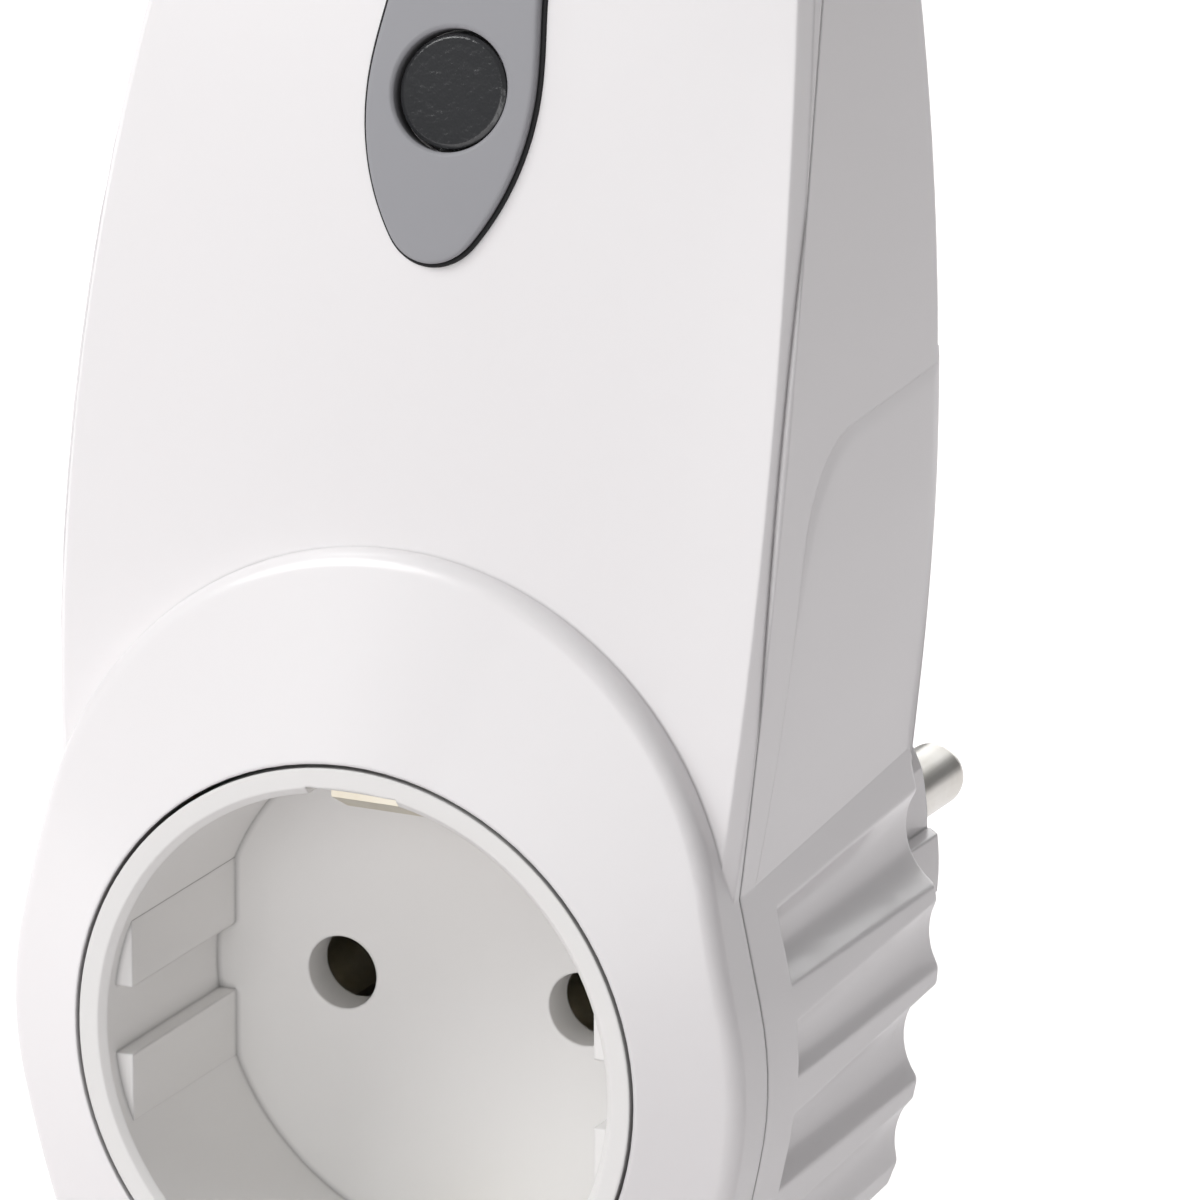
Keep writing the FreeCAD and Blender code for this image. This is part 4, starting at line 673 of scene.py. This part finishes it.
def area_lamp(name, place, width, height, power):
    """A soft rectangular lamp at a place, turned to the object."""
    light = bpy.data.lights.new(name, "AREA")
    light.shape = "RECTANGLE"
    light.size = width
    light.size_y = height
    light.energy = power
    lamp = bpy.data.objects.new(name, light)
    lamp.location = place
    lamp.rotation_euler = (AIM - Vector(place)).to_track_quat("-Z", "Y").to_euler()
    bpy.context.scene.collection.objects.link(lamp)


def light_room():
    """A pale room that the camera sees as white, also through glass."""
    world = bpy.data.worlds.new("room")
    bpy.context.scene.world = world
    world.use_nodes = True
    sky = world.node_tree
    sky.nodes.clear()
    path = sky.nodes.new("ShaderNodeLightPath")
    clear = calculate(sky, "MAXIMUM", path.outputs["Is Camera Ray"], path.outputs["Is Transmission Ray"])
    choose = sky.nodes.new("ShaderNodeMixShader")
    sky.links.new(clear, choose.inputs["Fac"])
    for place, strength in ((1, ROOM_STRENGTH), (2, 1.0)):
        glow = sky.nodes.new("ShaderNodeBackground")
        glow.inputs["Color"].default_value = WHITE
        glow.inputs["Strength"].default_value = strength
        sky.links.new(glow.outputs["Background"], choose.inputs[place])
    out = sky.nodes.new("ShaderNodeOutputWorld")
    sky.links.new(choose.outputs["Shader"], out.inputs["Surface"])


floor = floor_sheet()

AIM = Vector((0.0, -0.02, 0.03))
area_lamp("key", (-1.05, -0.95, 1.35), 1.0, 0.9, 22.0)
area_lamp("fill", (0.25, -1.6, 0.25), 1.2, 1.2, 10.3)
area_lamp("top", (-0.66, 0.53, 1.33), 1.2, 0.35, 7.0)
area_lamp("rear", (-0.2, 1.6, 0.5), 1.2, 1.0, 8.0)
light_room()


# --------------------------------------------------------------------- camera

# the picture's right, its top, the way back to the camera, and the camera's place
RIGHT = Vector((0.90183, 0.43209, 0.0))
UP = Vector((-0.12777, 0.26668, 0.95528))
AWAY = Vector((0.41277, -0.86150, 0.29571))
EYE = (0.42424, -0.90490, 0.32661)
lens = bpy.data.cameras.new("camera")
lens.lens = 429.9
lens.sensor_width = 36.0
lens.clip_start = 0.01
lens.clip_end = 50.0
camera = bpy.data.objects.new("camera", lens)
camera.matrix_world = Matrix.Translation(EYE) @ Matrix((RIGHT, UP, AWAY)).transposed().to_4x4()
bpy.context.scene.collection.objects.link(camera)
bpy.context.scene.camera = camera
bpy.context.scene.view_settings.view_transform = "Standard"
